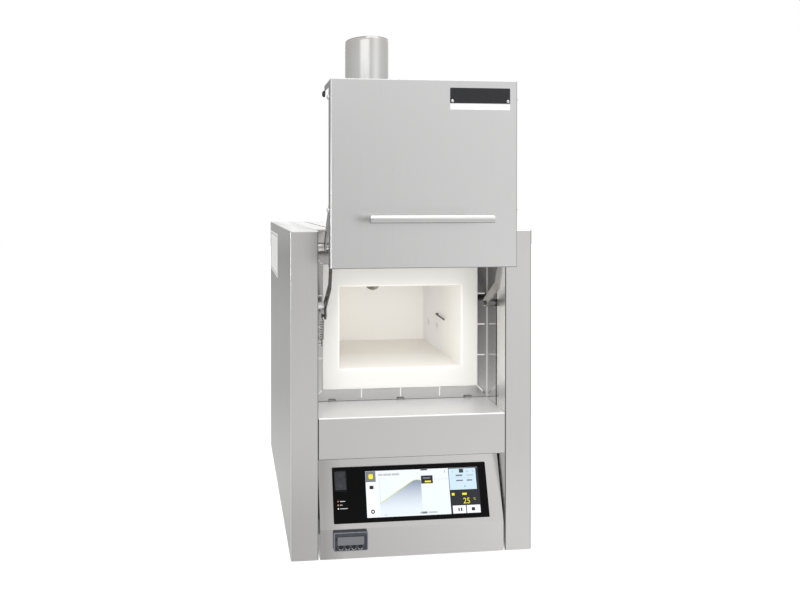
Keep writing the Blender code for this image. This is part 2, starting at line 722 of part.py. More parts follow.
def frame_slots():
    """Outlines of the slots round the collar hole: three a side, square to its edges."""
    hole_half = COLLAR_HALF + SEAM
    low, high = BASE + COLLAR_BOTTOM - SEAM, BASE + COLLAR_TOP + SEAM
    middle = (low + high) / 2
    near, far = FRAME_Y - OVERRUN, FRAME_Y + SHEET + OVERRUN
    reach, half_slot = SLOT_LENGTH, SLOT_WIDTH / 2
    boxes = []
    for x in spaced(SLOT_PITCH_X, SLOTS_PER_SIDE):
        for edge, way in ((low, -1), (high, 1)):
            ends = (edge - way * SLOT_WIDTH, edge + way * reach)
            boxes.append(((x - half_slot, near, ends[0]), (x + half_slot, far, ends[1])))
    for z in spaced(SLOT_PITCH_Z, SLOTS_PER_SIDE):
        for way in (-1, 1):
            ends = (way * (hole_half - SLOT_WIDTH), way * (hole_half + reach - SLOT_WIDTH))
            place = middle + z
            boxes.append(((ends[0], near, place - half_slot), (ends[1], far, place + half_slot)))
    prisms = []
    across = half_slot * math.sqrt(2)
    for way_x in (-1, 1):
        for edge, way_z in ((low, -1), (high, 1)):
            corner = Vector((way_x * hole_half, edge))
            inner = corner - Vector((way_x, way_z)) * SLOT_WIDTH
            outer = corner + Vector((way_x, way_z)) * CORNER_SLOT
            step = Vector((way_x, -way_z)) * across / 2
            prisms.append(([inner + step, outer + step, outer - step, inner - step], Y_AXIS, near, far))
    return boxes, prisms


def build_recess(furnace):
    """Folded sheet behind the door: the slotted plate round the collar and both side walls."""
    side_front = COLUMN_RETURN + SEAM
    path = [(-INNER, side_front), (-INNER, FRAME_Y), (INNER, FRAME_Y), (INNER, side_front)]
    bm = bmesh.new()
    add_prism(bm, sheet_outline(path, SHEET), Z_AXIS, BASE + FRAME_BOTTOM, UNDER_TOP)
    sheet = solid("recess_frame", bm, POLISHED, furnace)
    hole_half = COLLAR_HALF + SEAM
    hole = (
        (-hole_half, FRAME_Y - OVERRUN, BASE + COLLAR_BOTTOM - SEAM),
        (hole_half, FRAME_Y + SHEET + OVERRUN, BASE + COLLAR_TOP + SEAM),
    )
    boxes, prisms = frame_slots()
    carve(sheet, cutter("collar_hole", furnace, [hole]))
    carve(sheet, cutter("collar_slots", furnace, boxes))
    carve(sheet, cutter("corner_slots", furnace, prisms=prisms))


def build_front_cover(furnace):
    """Sill and front face in one folded sheet, with three tabs at its back edge."""
    half = INNER - SEAM
    back = FRAME_Y - SEAM
    rear_z, front_z = BASE + SILL_REAR_HEIGHT, BASE + SILL_FRONT_HEIGHT
    low = BASE + FRONT_COVER_BOTTOM
    path = [(back, rear_z), (0, front_z), (0, low), (FRONT_COVER_RETURN, low)]
    bm = bmesh.new()
    add_prism(bm, sheet_outline(rounded(path, BEND_RADIUS), SHEET), X_AXIS, -half, half)
    cover = solid("front_cover", bm, BRUSHED, furnace)
    near = (-SILL_TAB_WIDTH / 2, back - SILL_TAB_DEPTH, rear_z - SHEET)
    far = (SILL_TAB_WIDTH / 2, back, rear_z + SILL_TAB_HEIGHT)
    tabs = pierced(near, far, 0, SILL_TAB_PITCH, SLOTS_PER_SIDE)
    join(cover, cutter("sill_tabs", furnace, tabs))


def build_insulation(furnace):
    """Fibre collar, the blocks round the chamber, heating plates and floor plate."""
    half, collar_half, pack = CHAMBER_HALF, COLLAR_HALF, PACK_HALF_WIDTH
    floor, roof = BASE + CHAMBER_BOTTOM, BASE + CHAMBER_TOP
    low, high = BASE + PACK_BOTTOM, BASE + PACK_TOP
    collar_low, collar_high = BASE + COLLAR_BOTTOM, BASE + COLLAR_TOP
    behind = COLLAR_REAR + SEAM

    collar = block("chamber_collar", (-collar_half, COLLAR_FRONT, collar_low),
                   (collar_half, COLLAR_REAR, collar_high), FIBRE, furnace)
    mouth = ((-half, COLLAR_FRONT - OVERRUN, floor), (half, COLLAR_REAR + OVERRUN, roof))
    carve(collar, cutter("collar_mouth", furnace, [mouth]))

    side = INNER - BACKING_SIDE
    backing = block("collar_backing", (-side, BACKING_FRONT, low),
                    (side, BACKING_REAR, high), FIBRE, furnace)
    hole_half = collar_half + SEAM
    hole = ((-hole_half, BACKING_FRONT - OVERRUN, collar_low - SEAM),
            (hole_half, BACKING_REAR + OVERRUN, collar_high + SEAM))
    carve(backing, cutter("backing_hole", furnace, [hole]))

    plate_bottom = floor - FLOOR_PLATE
    start = BACKING_REAR + SEAM
    outline = [(start, low), (CHAMBER_REAR, low), (CHAMBER_REAR, plate_bottom - SEAM),
               (behind, plate_bottom - SEAM), (behind, collar_low - SEAM), (start, collar_low - SEAM)]
    bm = bmesh.new()
    add_prism(bm, outline, X_AXIS, -pack, pack)
    solid("insulation_floor", bm, FIBRE, furnace)
    block("insulation_roof", (-pack, behind, roof + SEAM), (pack, CHAMBER_REAR, high), FIBRE, furnace)
    heater_end = half + SEAM + HEATER_THICKNESS
    right = {}
    for side_name, sign in (("left", -1), ("right", 1)):
        plate = block(f"heating_plate_{side_name}", (sign * (half + SEAM), behind, plate_bottom),
                      (sign * heater_end, CHAMBER_REAR, roof), CERAMIC, furnace)
        wall = block(f"insulation_{side_name}", (sign * (heater_end + SEAM), behind, plate_bottom),
                     (sign * pack, CHAMBER_REAR, roof), FIBRE, furnace)
        right = {"plate": plate, "wall": wall}
    block("chamber_floor_plate", (-half, behind, plate_bottom), (half, CHAMBER_REAR, floor),
          CERAMIC, furnace)

    rear_front = CHAMBER_REAR + SEAM
    rear = block("insulation_rear", (-pack, rear_front, low), (pack, PACK_REAR, high), FIBRE, furnace)
    bore_z = roof - EXHAUST_BELOW_ROOF
    forward = [(0, rear_front - OVERRUN), (EXHAUST_MOUTH_RADIUS, rear_front - OVERRUN),
               (EXHAUST_MOUTH_RADIUS, CHIMNEY_Y), (0, CHIMNEY_Y)]
    upward = [(0, bore_z - EXHAUST_RADIUS), (EXHAUST_RADIUS, bore_z - EXHAUST_RADIUS),
              (EXHAUST_RADIUS, high + OVERRUN), (0, high + OVERRUN)]
    across = cutter("exhaust_bore", furnace, turned=[(forward, Y_AXIS, (0, 0, bore_z), PIN_STEPS)])
    riser = cutter("exhaust_riser", furnace,
                   turned=[(upward, Z_AXIS, (0, CHIMNEY_Y, 0), PIN_STEPS)])
    carve(rear, across, riser)

    bore = [(0, half - OVERRUN), (PROBE_BORE_RADIUS, half - OVERRUN),
            (PROBE_BORE_RADIUS, pack + OVERRUN), (0, pack + OVERRUN)]
    place = (0, PROBE_BACK_Y, roof - PROBE_BELOW_ROOF)
    probe_bore = cutter("probe_bore", furnace, turned=[(bore, X_AXIS, place, PIN_STEPS)])
    carve(right["plate"], probe_bore)
    carve(right["wall"], probe_bore)


def tube_object(name, points, radius, finish, parent, origin):
    """A round wire along points, as a curve with filled ends."""
    data = bpy.data.curves.new(name, "CURVE")
    data.dimensions = "3D"
    data.bevel_depth = radius
    data.bevel_resolution = 1
    data.use_fill_caps = True
    spline = data.splines.new("POLY")
    spline.points.add(len(points) - 1)
    for point, place in zip(spline.points, points):
        point.co = (*place, 1)
    return place_object(name, data, finish, parent, origin)


def build_thermocouple(furnace):
    """Sheathed probe that enters through the right wall and runs forward along it."""
    wall = CHAMBER_HALF - PROBE_STAND_OFF
    z = BASE + CHAMBER_TOP - PROBE_BELOW_ROOF
    bend = PROBE_STAND_OFF - PROBE_RADIUS
    centre = Vector((wall + bend, PROBE_BACK_Y - bend, z))
    points = [Vector((PACK_HALF_WIDTH + PROBE_OUTSIDE, PROBE_BACK_Y, z))]
    for step in range(ARC_STEPS + 1):
        angle = math.pi / 2 * step / ARC_STEPS
        points.append(centre + Vector((-math.sin(angle), math.cos(angle), 0)) * bend)
    points.append(Vector((wall, PROBE_FRONT_Y, z - PROBE_DROP)))
    tube_object("thermocouple", points, PROBE_RADIUS, SPRING_STEEL, furnace, points[0])


def build_cradle(furnace):
    """Folded bridge that carries the insulation over the base tray."""
    half = CRADLE_HALF_WIDTH
    deck, foot = BASE + PACK_BOTTOM - SEAM, TRAY_FLOOR + SEAM
    path = [(-half, foot), (-half, deck), (half, deck), (half, foot)]
    bm = bmesh.new()
    front = BACKING_FRONT + CRADLE_SET_BACK
    add_prism(bm, sheet_outline(path, -SHEET), Y_AXIS, front, PACK_REAR)
    solid("furnace_cradle", bm, ZINC, furnace)


def build_chimney(furnace):
    """Exhaust tube on the insulation, flange on the top cover and the chimney pipe round its neck."""
    centre = (0, CHIMNEY_Y, 0)
    start = BASE + PACK_TOP + SEAM
    inner, outer = EXHAUST_RADIUS, EXHAUST_RADIUS + EXHAUST_TUBE_WALL
    foot, end = start + EXHAUST_FOOT_HEIGHT, start + EXHAUST_TUBE_HEIGHT
    profile = [(inner, start), (EXHAUST_FOOT_RADIUS, start), (EXHAUST_FOOT_RADIUS, foot)]
    profile += [(outer, foot), (outer, end), (inner, end)]
    bm = bmesh.new()
    add_turned(bm, profile, Z_AXIS, centre, ROUND_STEPS)
    solid("exhaust_tube", bm, POLISHED, furnace)

    low = TOP + SEAM
    plate = low + CHIMNEY_FLANGE_HEIGHT
    neck = plate + CHIMNEY_NECK_HEIGHT
    sleeve = CHIMNEY_RADIUS - SHEET - SEAM
    profile = [(CHIMNEY_BORE, low), (CHIMNEY_FLANGE_RADIUS, low), (CHIMNEY_FLANGE_RADIUS, plate)]
    profile += [(sleeve, plate), (sleeve, neck), (CHIMNEY_BORE, neck)]
    bm = bmesh.new()
    add_turned(bm, profile, Z_AXIS, centre, ROUND_STEPS)
    solid("chimney_flange", bm, BRUSHED, furnace)

    bottom, top = plate + SEAM, BASE + CHIMNEY_TOP
    bore = CHIMNEY_RADIUS - SHEET
    profile = [(bore, bottom), (CHIMNEY_RADIUS, bottom), (CHIMNEY_RADIUS, top), (bore, top)]
    bm = bmesh.new()
    add_turned(bm, profile, Z_AXIS, centre, 2 * ROUND_STEPS)
    solid("chimney_pipe", bm, BRUSHED, furnace)


def build_housing(furnace, panel):
    """Control housing: vertical strip, inclined panel, top and sides, open at the back and base."""
    top = BASE + FRONT_COVER_BOTTOM - SEAM
    slope = (top - BASE - PANEL_FOLD_HEIGHT) * math.tan(PANEL_TILT)
    path = [(0, BASE), (0, BASE + PANEL_FOLD_HEIGHT), (slope, top), (HOUSING_DEPTH, top)]
    front = rounded(path, BEND_RADIUS)
    bm = bmesh.new()
    add_prism(bm, front + [Vector((HOUSING_DEPTH, BASE))], X_AXIS, -HOUSING_HALF_WIDTH, HOUSING_HALF_WIDTH)
    housing = solid("control_housing", bm, BRUSHED, furnace)
    inner = offset_path(front, -SHEET)
    past = HOUSING_DEPTH + OVERRUN
    outline = [(inner[0].x, BASE - OVERRUN)] + inner[1:-1]
    outline += [(past, inner[-1].y), (past, BASE - OVERRUN)]
    half = HOUSING_HALF_WIDTH - SHEET
    inside = cutter("housing_inside", furnace, prisms=[(outline, X_AXIS, -half, half)])
    window = (
        (GLASS_LEFT + GLASS_RIM, GLASS_LOW + GLASS_RIM, -SHEET - OVERRUN),
        (GLASS_RIGHT - GLASS_RIM, GLASS_HIGH - GLASS_RIM, OVERRUN),
    )
    half_width = LIMITER_NECK_WIDTH / 2 + LIMITER_CUT_GAP
    half_height = LIMITER_NECK_HEIGHT / 2 + LIMITER_CUT_GAP
    z = BASE + LIMITER_Z
    socket = (
        (LIMITER_X - half_width, -OVERRUN, z - half_height),
        (LIMITER_X + half_width, SHEET + OVERRUN, z + half_height),
    )
    carve(housing, inside, cutter("panel_window", panel, [window]))
    carve(housing, cutter("limiter_hole", furnace, [socket]))


def build_panel(panel):
    """Glass front, screen, controller behind it, light guide and the mains rocker switch."""
    back, face = SEAM, SEAM + GLASS_THICKNESS
    folds = [((X_AXIS, at), (Y_AXIS, up)) for at in (GLASS_LEFT, GLASS_RIGHT)
             for up in (GLASS_LOW, GLASS_HIGH)]
    glass = block("panel_glass", (GLASS_LEFT, GLASS_LOW, back), (GLASS_RIGHT, GLASS_HIGH, face),
                  BLACK_GLASS, panel, folds)
    under, over = back - OVERRUN, face + OVERRUN
    screen_hole = ((SCREEN_LEFT - SEAM, SCREEN_LOW - SEAM, under),
                   (SCREEN_RIGHT + SEAM, SCREEN_HIGH + SEAM, over))
    rocker_hole = ((ROCKER_LEFT - ROCKER_GAP, ROCKER_LOW - ROCKER_GAP, under),
                   (ROCKER_RIGHT + ROCKER_GAP, ROCKER_HIGH + ROCKER_GAP, over))
    bore = LIGHT_RADIUS + SEAM
    lights = [(LIGHT_U, LIGHT_TOP_V - LIGHT_PITCH * step, 0) for step in range(LIGHT_COUNT)]
    profile = [(0, under), (bore, under), (bore, over), (0, over)]
    holes = [(profile, Z_AXIS, place, PIN_STEPS) for place in lights]
    carve(glass, cutter("panel_holes", panel, [screen_hole, rocker_hole]))
    carve(glass, cutter("light_holes", panel, turned=holes))

    block("touch_screen", (SCREEN_LEFT, SCREEN_LOW, back), (SCREEN_RIGHT, SCREEN_HIGH, face - SCREEN_SINK),
          SCREEN, panel)
    margin = 2 * GLASS_RIM
    block("controller_box", (CONTROLLER_LEFT, GLASS_LOW + margin, -CONTROLLER_DEPTH),
          (GLASS_RIGHT - margin, GLASS_HIGH - margin, 0), DARK_PLASTIC, panel)

    end = LIGHT_TOP_V - LIGHT_PITCH * (LIGHT_COUNT - 1)
    half, depth = LIGHT_BAR_WIDTH / 2, LIGHT_BAR_DEPTH
    guide = block("light_guide", (LIGHT_U - half, end - half, -depth),
                  (LIGHT_U + half, LIGHT_TOP_V + half, 0), LIGHT, panel)
    profile = [(0, -depth / 2), (LIGHT_RADIUS, -depth / 2), (LIGHT_RADIUS, face), (0, face)]
    tips = [(profile, Z_AXIS, place, PIN_STEPS) for place in lights]
    join(guide, cutter("light_tips", panel, turned=tips))


def rocker_outline(radius):
    """Side view of the rocker about its axis: round ends, its top pressed in at the upper end."""
    def on_rim(angle):
        return radius * math.cos(angle), radius * math.sin(angle)

    upper = [-ROCKER_SKIRT + (ROCKER_PRESSED + ROCKER_SKIRT) * step / ARC_STEPS
             for step in range(ARC_STEPS + 1)]
    lower = [math.pi - ROCKER_RAISED + (ROCKER_RAISED + ROCKER_SKIRT) * step / ARC_STEPS
             for step in range(ARC_STEPS + 1)]
    return [on_rim(angle) for angle in upper] + [(0, ROCKER_MIDDLE)] + [on_rim(angle) for angle in lower]


def build_switch(panel):
    """Rocker on two stub pins, and the switch body that holds them behind the glass."""
    middle_v = (ROCKER_LOW + ROCKER_HIGH) / 2
    radius = (ROCKER_HIGH - ROCKER_LOW) / 2
    pivot = Vector((0, middle_v, -ROCKER_PIVOT_DEPTH))
    outline = [(pivot.y + v, pivot.z + w) for v, w in rocker_outline(radius)]
    bm = bmesh.new()
    add_prism(bm, outline, X_AXIS, ROCKER_LEFT, ROCKER_RIGHT)
    origin = Vector(((ROCKER_LEFT + ROCKER_RIGHT) / 2, pivot.y, pivot.z))
    rocker = solid("switch_rocker", bm, DARK_PLASTIC, panel, origin)
    left, right = ROCKER_LEFT - ROCKER_PIN_LENGTH, ROCKER_RIGHT + ROCKER_PIN_LENGTH
    pin = [(0, left), (ROCKER_PIN_RADIUS, left), (ROCKER_PIN_RADIUS, right), (0, right)]
    join(rocker, cutter("rocker_pin", panel, turned=[(pin, X_AXIS, pivot, PIN_STEPS)]))

    inner_left, inner_right = ROCKER_LEFT - ROCKER_GAP, ROCKER_RIGHT + ROCKER_GAP
    inner_low, inner_high = ROCKER_LOW - ROCKER_GAP, ROCKER_HIGH + ROCKER_GAP
    low = (inner_left - SWITCH_WALL, inner_low - SWITCH_WALL, -SWITCH_DEPTH)
    high = (inner_right + SWITCH_WALL, inner_high + SWITCH_WALL, 0)
    body = block("switch_body", low, high, DARK_PLASTIC, panel)
    well = ((inner_left, inner_low, -SWITCH_WELL), (inner_right, inner_high, OVERRUN))
    bore = ROCKER_PIN_RADIUS + SEAM
    ends = (left - SEAM, right + SEAM)
    hole = [(0, ends[0]), (bore, ends[0]), (bore, ends[1]), (0, ends[1])]
    carve(body, cutter("switch_well", panel, [well]))
    carve(body, cutter("switch_bores", panel, turned=[(hole, X_AXIS, pivot, PIN_STEPS)]))


def build_limiter(furnace):
    """Over-temperature limiter: bezel and neck, window, and four round keys that press in."""
    z = BASE + LIMITER_Z
    half_width, half_height = LIMITER_WIDTH / 2, LIMITER_HEIGHT / 2
    face = -SEAM - LIMITER_PROUD
    ends_x = (LIMITER_X - half_width, LIMITER_X + half_width)
    ends_z = (z - half_height, z + half_height)
    folds = [((X_AXIS, x), (Z_AXIS, up)) for x in ends_x for up in ends_z]
    body = block("limiter_body", (ends_x[0], face, ends_z[0]), (ends_x[1], -SEAM, ends_z[1]),
                 SLATE_PLASTIC, furnace, folds, LIMITER_CORNER)
    neck_x, neck_z = LIMITER_NECK_WIDTH / 2, LIMITER_NECK_HEIGHT / 2
    neck = ((LIMITER_X - neck_x, -SEAM - LIMITER_PROUD / 2, z - neck_z),
            (LIMITER_X + neck_x, LIMITER_NECK_DEPTH, z + neck_z))
    floor = face + LIMITER_RECESS
    border = LIMITER_BORDER
    recess = ((ends_x[0] + border, face - OVERRUN, ends_z[0] + border / 2),
              (ends_x[1] - border, floor, ends_z[1] - 2 * border))
    key_z = z - KEY_DROP
    pocket = KEY_RADIUS + KEY_GAP
    profile = [(0, face - OVERRUN), (pocket, face - OVERRUN), (pocket, floor + KEY_POCKET)]
    profile += [(0, floor + KEY_POCKET)]
    places = [(LIMITER_X + x, 0, key_z) for x in spaced(KEY_PITCH, KEY_COUNT)]
    pockets = [(profile, Y_AXIS, place, PIN_STEPS) for place in places]
    join(body, cutter("limiter_neck", furnace, [neck]))
    carve(body, cutter("limiter_recess", furnace, [recess]))
    carve(body, cutter("key_pockets", furnace, turned=pockets))

    window_top = recess[1][2] - WINDOW_DROP
    window_z = (window_top - WINDOW_HEIGHT, window_top)
    block("limiter_window", (LIMITER_X - WINDOW_WIDTH / 2, floor - SEAM - WINDOW_THICKNESS, window_z[0]),
          (LIMITER_X + WINDOW_WIDTH / 2, floor - SEAM, window_z[1]), WINDOW, furnace)
    for number, place in enumerate(places, start=1):
        front = floor - KEY_PROUD
        profile = [(0, front), (KEY_RADIUS, front), (KEY_RADIUS, front + KEY_LENGTH)]
        profile += [(0, front + KEY_LENGTH)]
        bm = bmesh.new()
        add_turned(bm, profile, Y_AXIS, place, PIN_STEPS)
        origin = (place[0], front, place[2])
        solid(f"limiter_key_{number}", bm, DARK_PLASTIC, furnace, origin)


def build_base_parts(furnace):
    """Solid state relay and terminal block on the tray's floor."""
    for name, size, place in (
        ("solid_state_relay", RELAY_SIZE, RELAY_PLACE),
        ("terminal_block", TERMINAL_SIZE, TERMINAL_PLACE),
    ):
        width, depth, height = size
        x, y = place
        bottom = TRAY_FLOOR + SEAM
        block(name, (x - width / 2, y - depth / 2, bottom), (x + width / 2, y + depth / 2, bottom + height),
              DARK_PLASTIC, furnace)


def door_block(name, low, high, finish, door, folds=()):
    """A box of the door, given in the furnace's coordinates."""
    made = block(name, low, high, finish, door, folds)
    made.location = -DOOR_LOWER_PIVOT
    return made


def door_cutter(name, door, **shapes):
    """A cutter of the door, given in the furnace's coordinates."""
    helper = cutter(name, door, **shapes)
    helper.location = -DOOR_LOWER_PIVOT
    return helper


def build_door(door):
    """Door shell with its deeper top flange, fibre board with plug, and the retaining frame."""
    half, front, flange_end = DOOR_HALF, DOOR_FRONT, DOOR_FRONT + DOOR_FLANGE
    top_end = front + DOOR_TOP_DEPTH
    folds = [((axis, at), (Y_AXIS, front)) for axis, at in
             ((X_AXIS, -half), (X_AXIS, half), (Z_AXIS, DOOR_BASE), (Z_AXIS, DOOR_TOP))]
    folds += [((X_AXIS, at), (Z_AXIS, DOOR_TOP)) for at in (-half, half)]
    shell = door_block("door_shell", (-half, front, DOOR_BASE), (half, top_end, DOOR_TOP),
                       BRUSHED, door, folds)
    inside = ((-half + SHEET, front + SHEET, DOOR_BASE + SHEET),
              (half - SHEET, top_end + OVERRUN, DOOR_TOP - SHEET))
    behind = ((-half - OVERRUN, flange_end, DOOR_BASE - OVERRUN),
              (half + OVERRUN, top_end + OVERRUN, DOOR_TOP - DOOR_TOP_LIP))
    carve(shell, door_cutter("door_inside", door, boxes=[inside]))
    carve(shell, door_cutter("door_behind", door, boxes=[behind]))

    board = DOOR_BOARD_HALF
    board_front = front + SHEET + SEAM
    retainer_rear = flange_end
    retainer_front = retainer_rear - SHEET
    board_rear = retainer_front - SEAM
    low, high = DOOR_BASE + SHEET + DOOR_BOARD_MARGIN, DOOR_TOP - SHEET - DOOR_BOARD_MARGIN
    plug = board - PLUG_STEP
    plug_low, plug_high = BASE + COLLAR_BOTTOM + DOOR_LIFT, BASE + COLLAR_TOP + DOOR_LIFT
    plug_rear = COLLAR_FRONT - DOOR_ADVANCE - PLUG_GAP
    insulation = door_block("door_insulation", (-board, board_front, low), (board, board_rear, high),
                            FIBRE, door)
    plug_box = ((-plug, board_front + SHEET, plug_low), (plug, plug_rear, plug_high))
    join(insulation, door_cutter("door_plug", door, boxes=[plug_box]))

    wide = board + RETAINER_LAP
    frame_low, frame_high = low - RETAINER_MARGIN, high + RETAINER_MARGIN
    retainer = door_block("door_retainer", (-wide, retainer_front, frame_low),
                          (wide, retainer_rear, frame_high), ZINC, door)
    hole = ((-plug - SEAM, retainer_front - OVERRUN, plug_low - SEAM),
            (plug + SEAM, retainer_rear + OVERRUN, plug_high + SEAM))
    carve(retainer, door_cutter("retainer_hole", door, boxes=[hole]))


def build_handle(door):
    """Round bar across the door, on two welded posts."""
    z = DOOR_BASE + HANDLE_RISE
    left, right = HANDLE_X - HANDLE_LENGTH / 2, HANDLE_X + HANDLE_LENGTH / 2
    thin = HANDLE_RADIUS - HANDLE_CHAMFER
    profile = [(0, left), (thin, left), (HANDLE_RADIUS, left + HANDLE_CHAMFER)]
    profile += [(HANDLE_RADIUS, right - HANDLE_CHAMFER), (thin, right), (0, right)]
    bm = bmesh.new()
    add_turned(bm, profile, X_AXIS, (0, HANDLE_Y, z), ROUND_STEPS)
    bar = solid("door_handle", bm, POLISHED, door)
    bar.location = -DOOR_LOWER_PIVOT
    end = DOOR_FRONT - SEAM
    post = [(0, HANDLE_Y), (HANDLE_POST_RADIUS, HANDLE_Y), (HANDLE_POST_RADIUS, end), (0, end)]
    places = [(HANDLE_X + sign * HANDLE_POST_X, 0, z) for sign in (-1, 1)]
    turned = [(post, Y_AXIS, place, PIN_STEPS) for place in places]
    join(bar, door_cutter("handle_posts", door, turned=turned))


def pin_profile(start, shoulder_radius, head_radius, head):
    """A pivot pin from a start outside the lever inwards: shoulder, shank in the bore, and head."""
    shoulder_end = LEVER_OUTER_X + SEAM
    head_start = LEVER_INNER_X - SEAM
    return [
        (0, start),
        (shoulder_radius, start),
        (shoulder_radius, shoulder_end),
        (PIN_RADIUS, shoulder_end),
        (PIN_RADIUS, head_start),
        (head_radius, head_start),
        (head_radius, head_start - head),
        (0, head_start - head),
    ]


def build_brackets(door):
    """Bracket plates inside the door's side flanges, each with the two studs that carry it."""
    outer = DOOR_HALF - SHEET - SEAM
    inner = outer - BRACKET_THICKNESS
    front = DOOR_FRONT + SHEET + SEAM
    rear = DOOR_LOWER_PIVOT.y + BRACKET_MARGIN
    low, high = DOOR_LOWER_PIVOT.z - BRACKET_MARGIN, DOOR_UPPER_PIVOT.z + BRACKET_MARGIN
    profile = pin_profile(outer - BRACKET_THICKNESS / 2, BRACKET_SHOULDER_RADIUS, PIN_HEAD_RADIUS, PIN_HEAD)
    for side, sign in (("left", -1), ("right", 1)):
        plate = door_block(f"door_bracket_{side}", (sign * inner, front, low), (sign * outer, rear, high),
                           ZINC, door)
        studs = [(profile, X_AXIS, place, PIN_STEPS, sign) for place in (DOOR_LOWER_PIVOT, DOOR_UPPER_PIVOT)]
        join(plate, door_cutter(f"bracket_studs_{side}", door, turned=studs))


def build_pivots(furnace):
    """Shouldered pins in the recess walls that carry the levers and links."""
    profile = pin_profile(INNER - SEAM, PIVOT_SHOULDER_RADIUS, PIVOT_HEAD_RADIUS, PIVOT_HEAD)
    for level, place in (("lower", LOWER_PIVOT), ("upper", UPPER_PIVOT)):
        for side, sign in (("left", -1), ("right", 1)):
            bm = bmesh.new()
            add_turned(bm, profile, X_AXIS, place, PIN_STEPS, sign)
            solid(f"pivot_{level}_{side}", bm, POLISHED, furnace)


def build_bar(name, pivot, path, bores, sign, furnace, studs=()):
    """A flat bar of the linkage with its bores, its origin on the fixed pivot's axis."""
    outer, inner = sign * LEVER_OUTER_X, sign * LEVER_INNER_X
    bm = bmesh.new()
    add_prism(bm, band_outline(path, LEVER_HALF_WIDTH), X_AXIS, inner, outer)
    bar = solid(name, bm, BRUSHED, furnace, pivot)
    radius = PIN_RADIUS + PIN_GAP
    start, end = LEVER_INNER_X - OVERRUN, LEVER_OUTER_X + OVERRUN
    hole = [(0, start), (radius, start), (radius, end), (0, end)]
    turned = [(hole, X_AXIS, place, PIN_STEPS, sign) for place in bores]
    carve(bar, cutter(name + "_bores", furnace, turned=turned))
    if studs:
        join(bar, cutter(name + "_stud", furnace, turned=studs))
    return bar


def spring_stud(start, place, sign):
    """A small headed stud that a spring's hook goes round, from a start outwards or inwards."""
    middle = LEVER_OUTER_X + SPRING_OFFSET
    way = 1 if start < middle else -1
    collar = middle + way * (SPRING_WIRE_RADIUS + SEAM)
    end = collar + way * SPRING_STUD_HEAD
    profile = [(0, start), (SPRING_STUD_RADIUS, start), (SPRING_STUD_RADIUS, collar)]
    profile += [(SPRING_STUD_HEAD_RADIUS, collar), (SPRING_STUD_HEAD_RADIUS, end), (0, end)]
    return profile, X_AXIS, place, PIN_STEPS, sign


def build_linkage(furnace):
    """Two cranked levers below, two straight links above; the left lever has the spring's tail."""
    start, end = LOWER_PIVOT.yz, DOOR_LOWER_PIVOT.yz
    elbow = start + Vector((-ELBOW_FORWARD_share, ELBOW_RISE_share)) * LEVER_LENGTH
    neck = start + Vector((-NECK_FORWARD_share, NECK_RISE_share)) * LEVER_LENGTH
    tail = tail_end()
    for side, sign in (("left", -1), ("right", 1)):
        path, studs = rounded([start, elbow, neck, end], CRANK_RADIUS), ()
        if side == "left":
            path = [tail.yz] + path
            studs = [spring_stud(LEVER_OUTER_X - LEVER_THICKNESS / 2, tail, sign)]
        build_bar(f"lever_{side}", LOWER_PIVOT, path, (LOWER_PIVOT, DOOR_LOWER_PIVOT), sign,
                  furnace, studs)
        path = [UPPER_PIVOT.yz, DOOR_UPPER_PIVOT.yz]
        build_bar(f"link_{side}", UPPER_PIVOT, path, (UPPER_PIVOT, DOOR_UPPER_PIVOT), sign, furnace)


def tail_end():
    """Where the spring hooks onto the left lever."""
    return LOWER_PIVOT - Vector((0, 0, TAIL_LENGTH))


def spring_hook_reach():
    """Distance from a hook's centre to the coil's first point, clear of the lever's round end."""
    return LEVER_HALF_WIDTH + 2 * SPRING_WIRE_RADIUS


def spring_anchor_place():
    """Where the spring's lower hook sits, leaning back from the tail."""
    length = SPRING_PITCH * SPRING_TURNS + 2 * spring_hook_reach()
    drop = math.sqrt(length**2 - SPRING_LEAN**2)
    return tail_end() + Vector((0, SPRING_LEAN, -drop))


def spring_points():
    """Centre line of the spring: hook, coil, hook, each end running on straight for a diameter."""
    top, bottom = tail_end(), spring_anchor_place()
    down = (bottom - top).normalized()
    across = Vector((0, -down.z, down.y))
    sideways = Vector((1, 0, 0))
    hook = SPRING_STUD_RADIUS + SEAM + SPRING_WIRE_RADIUS
    reach = spring_hook_reach()
    curl = SPRING_CURL_POINTS
    hook_span = math.pi + HOOK_OVERLAP
    hook_steps = curl

    def arc_point(centre, angle):
        return centre + across * (hook * math.cos(angle)) - down * (hook * math.sin(angle))

    upper = [arc_point(top, hook_span * (1 - step / hook_steps)) for step in range(hook_steps + 1)]
    lead = (upper[0] - upper[1]).normalized() * (2 * SPRING_WIRE_RADIUS)
    coil = []
    for step in range(round(SPRING_TURNS * curl) + 1):
        angle = FULL_TURN * step / curl
        round_axis = across * math.cos(angle) + sideways * math.sin(angle)
        coil.append(top + down * (reach + SPRING_PITCH * step / curl) + round_axis * SPRING_RADIUS)
    lower = [arc_point(bottom, math.pi + hook_span * step / hook_steps) for step in range(hook_steps + 1)]
    trail = (lower[-1] - lower[-2]).normalized() * (2 * SPRING_WIRE_RADIUS)
    return [upper[0] + lead] + upper + coil + lower + [lower[-1] + trail]


def least_gap(points, radius, neighbours):
    """Smallest free space between parts of a wire that aren't neighbours along it."""
    nearest = min(
        (one - other).length
        for index, one in enumerate(points)
        for other in points[index + neighbours:]
    )
    return nearest - 2 * radius


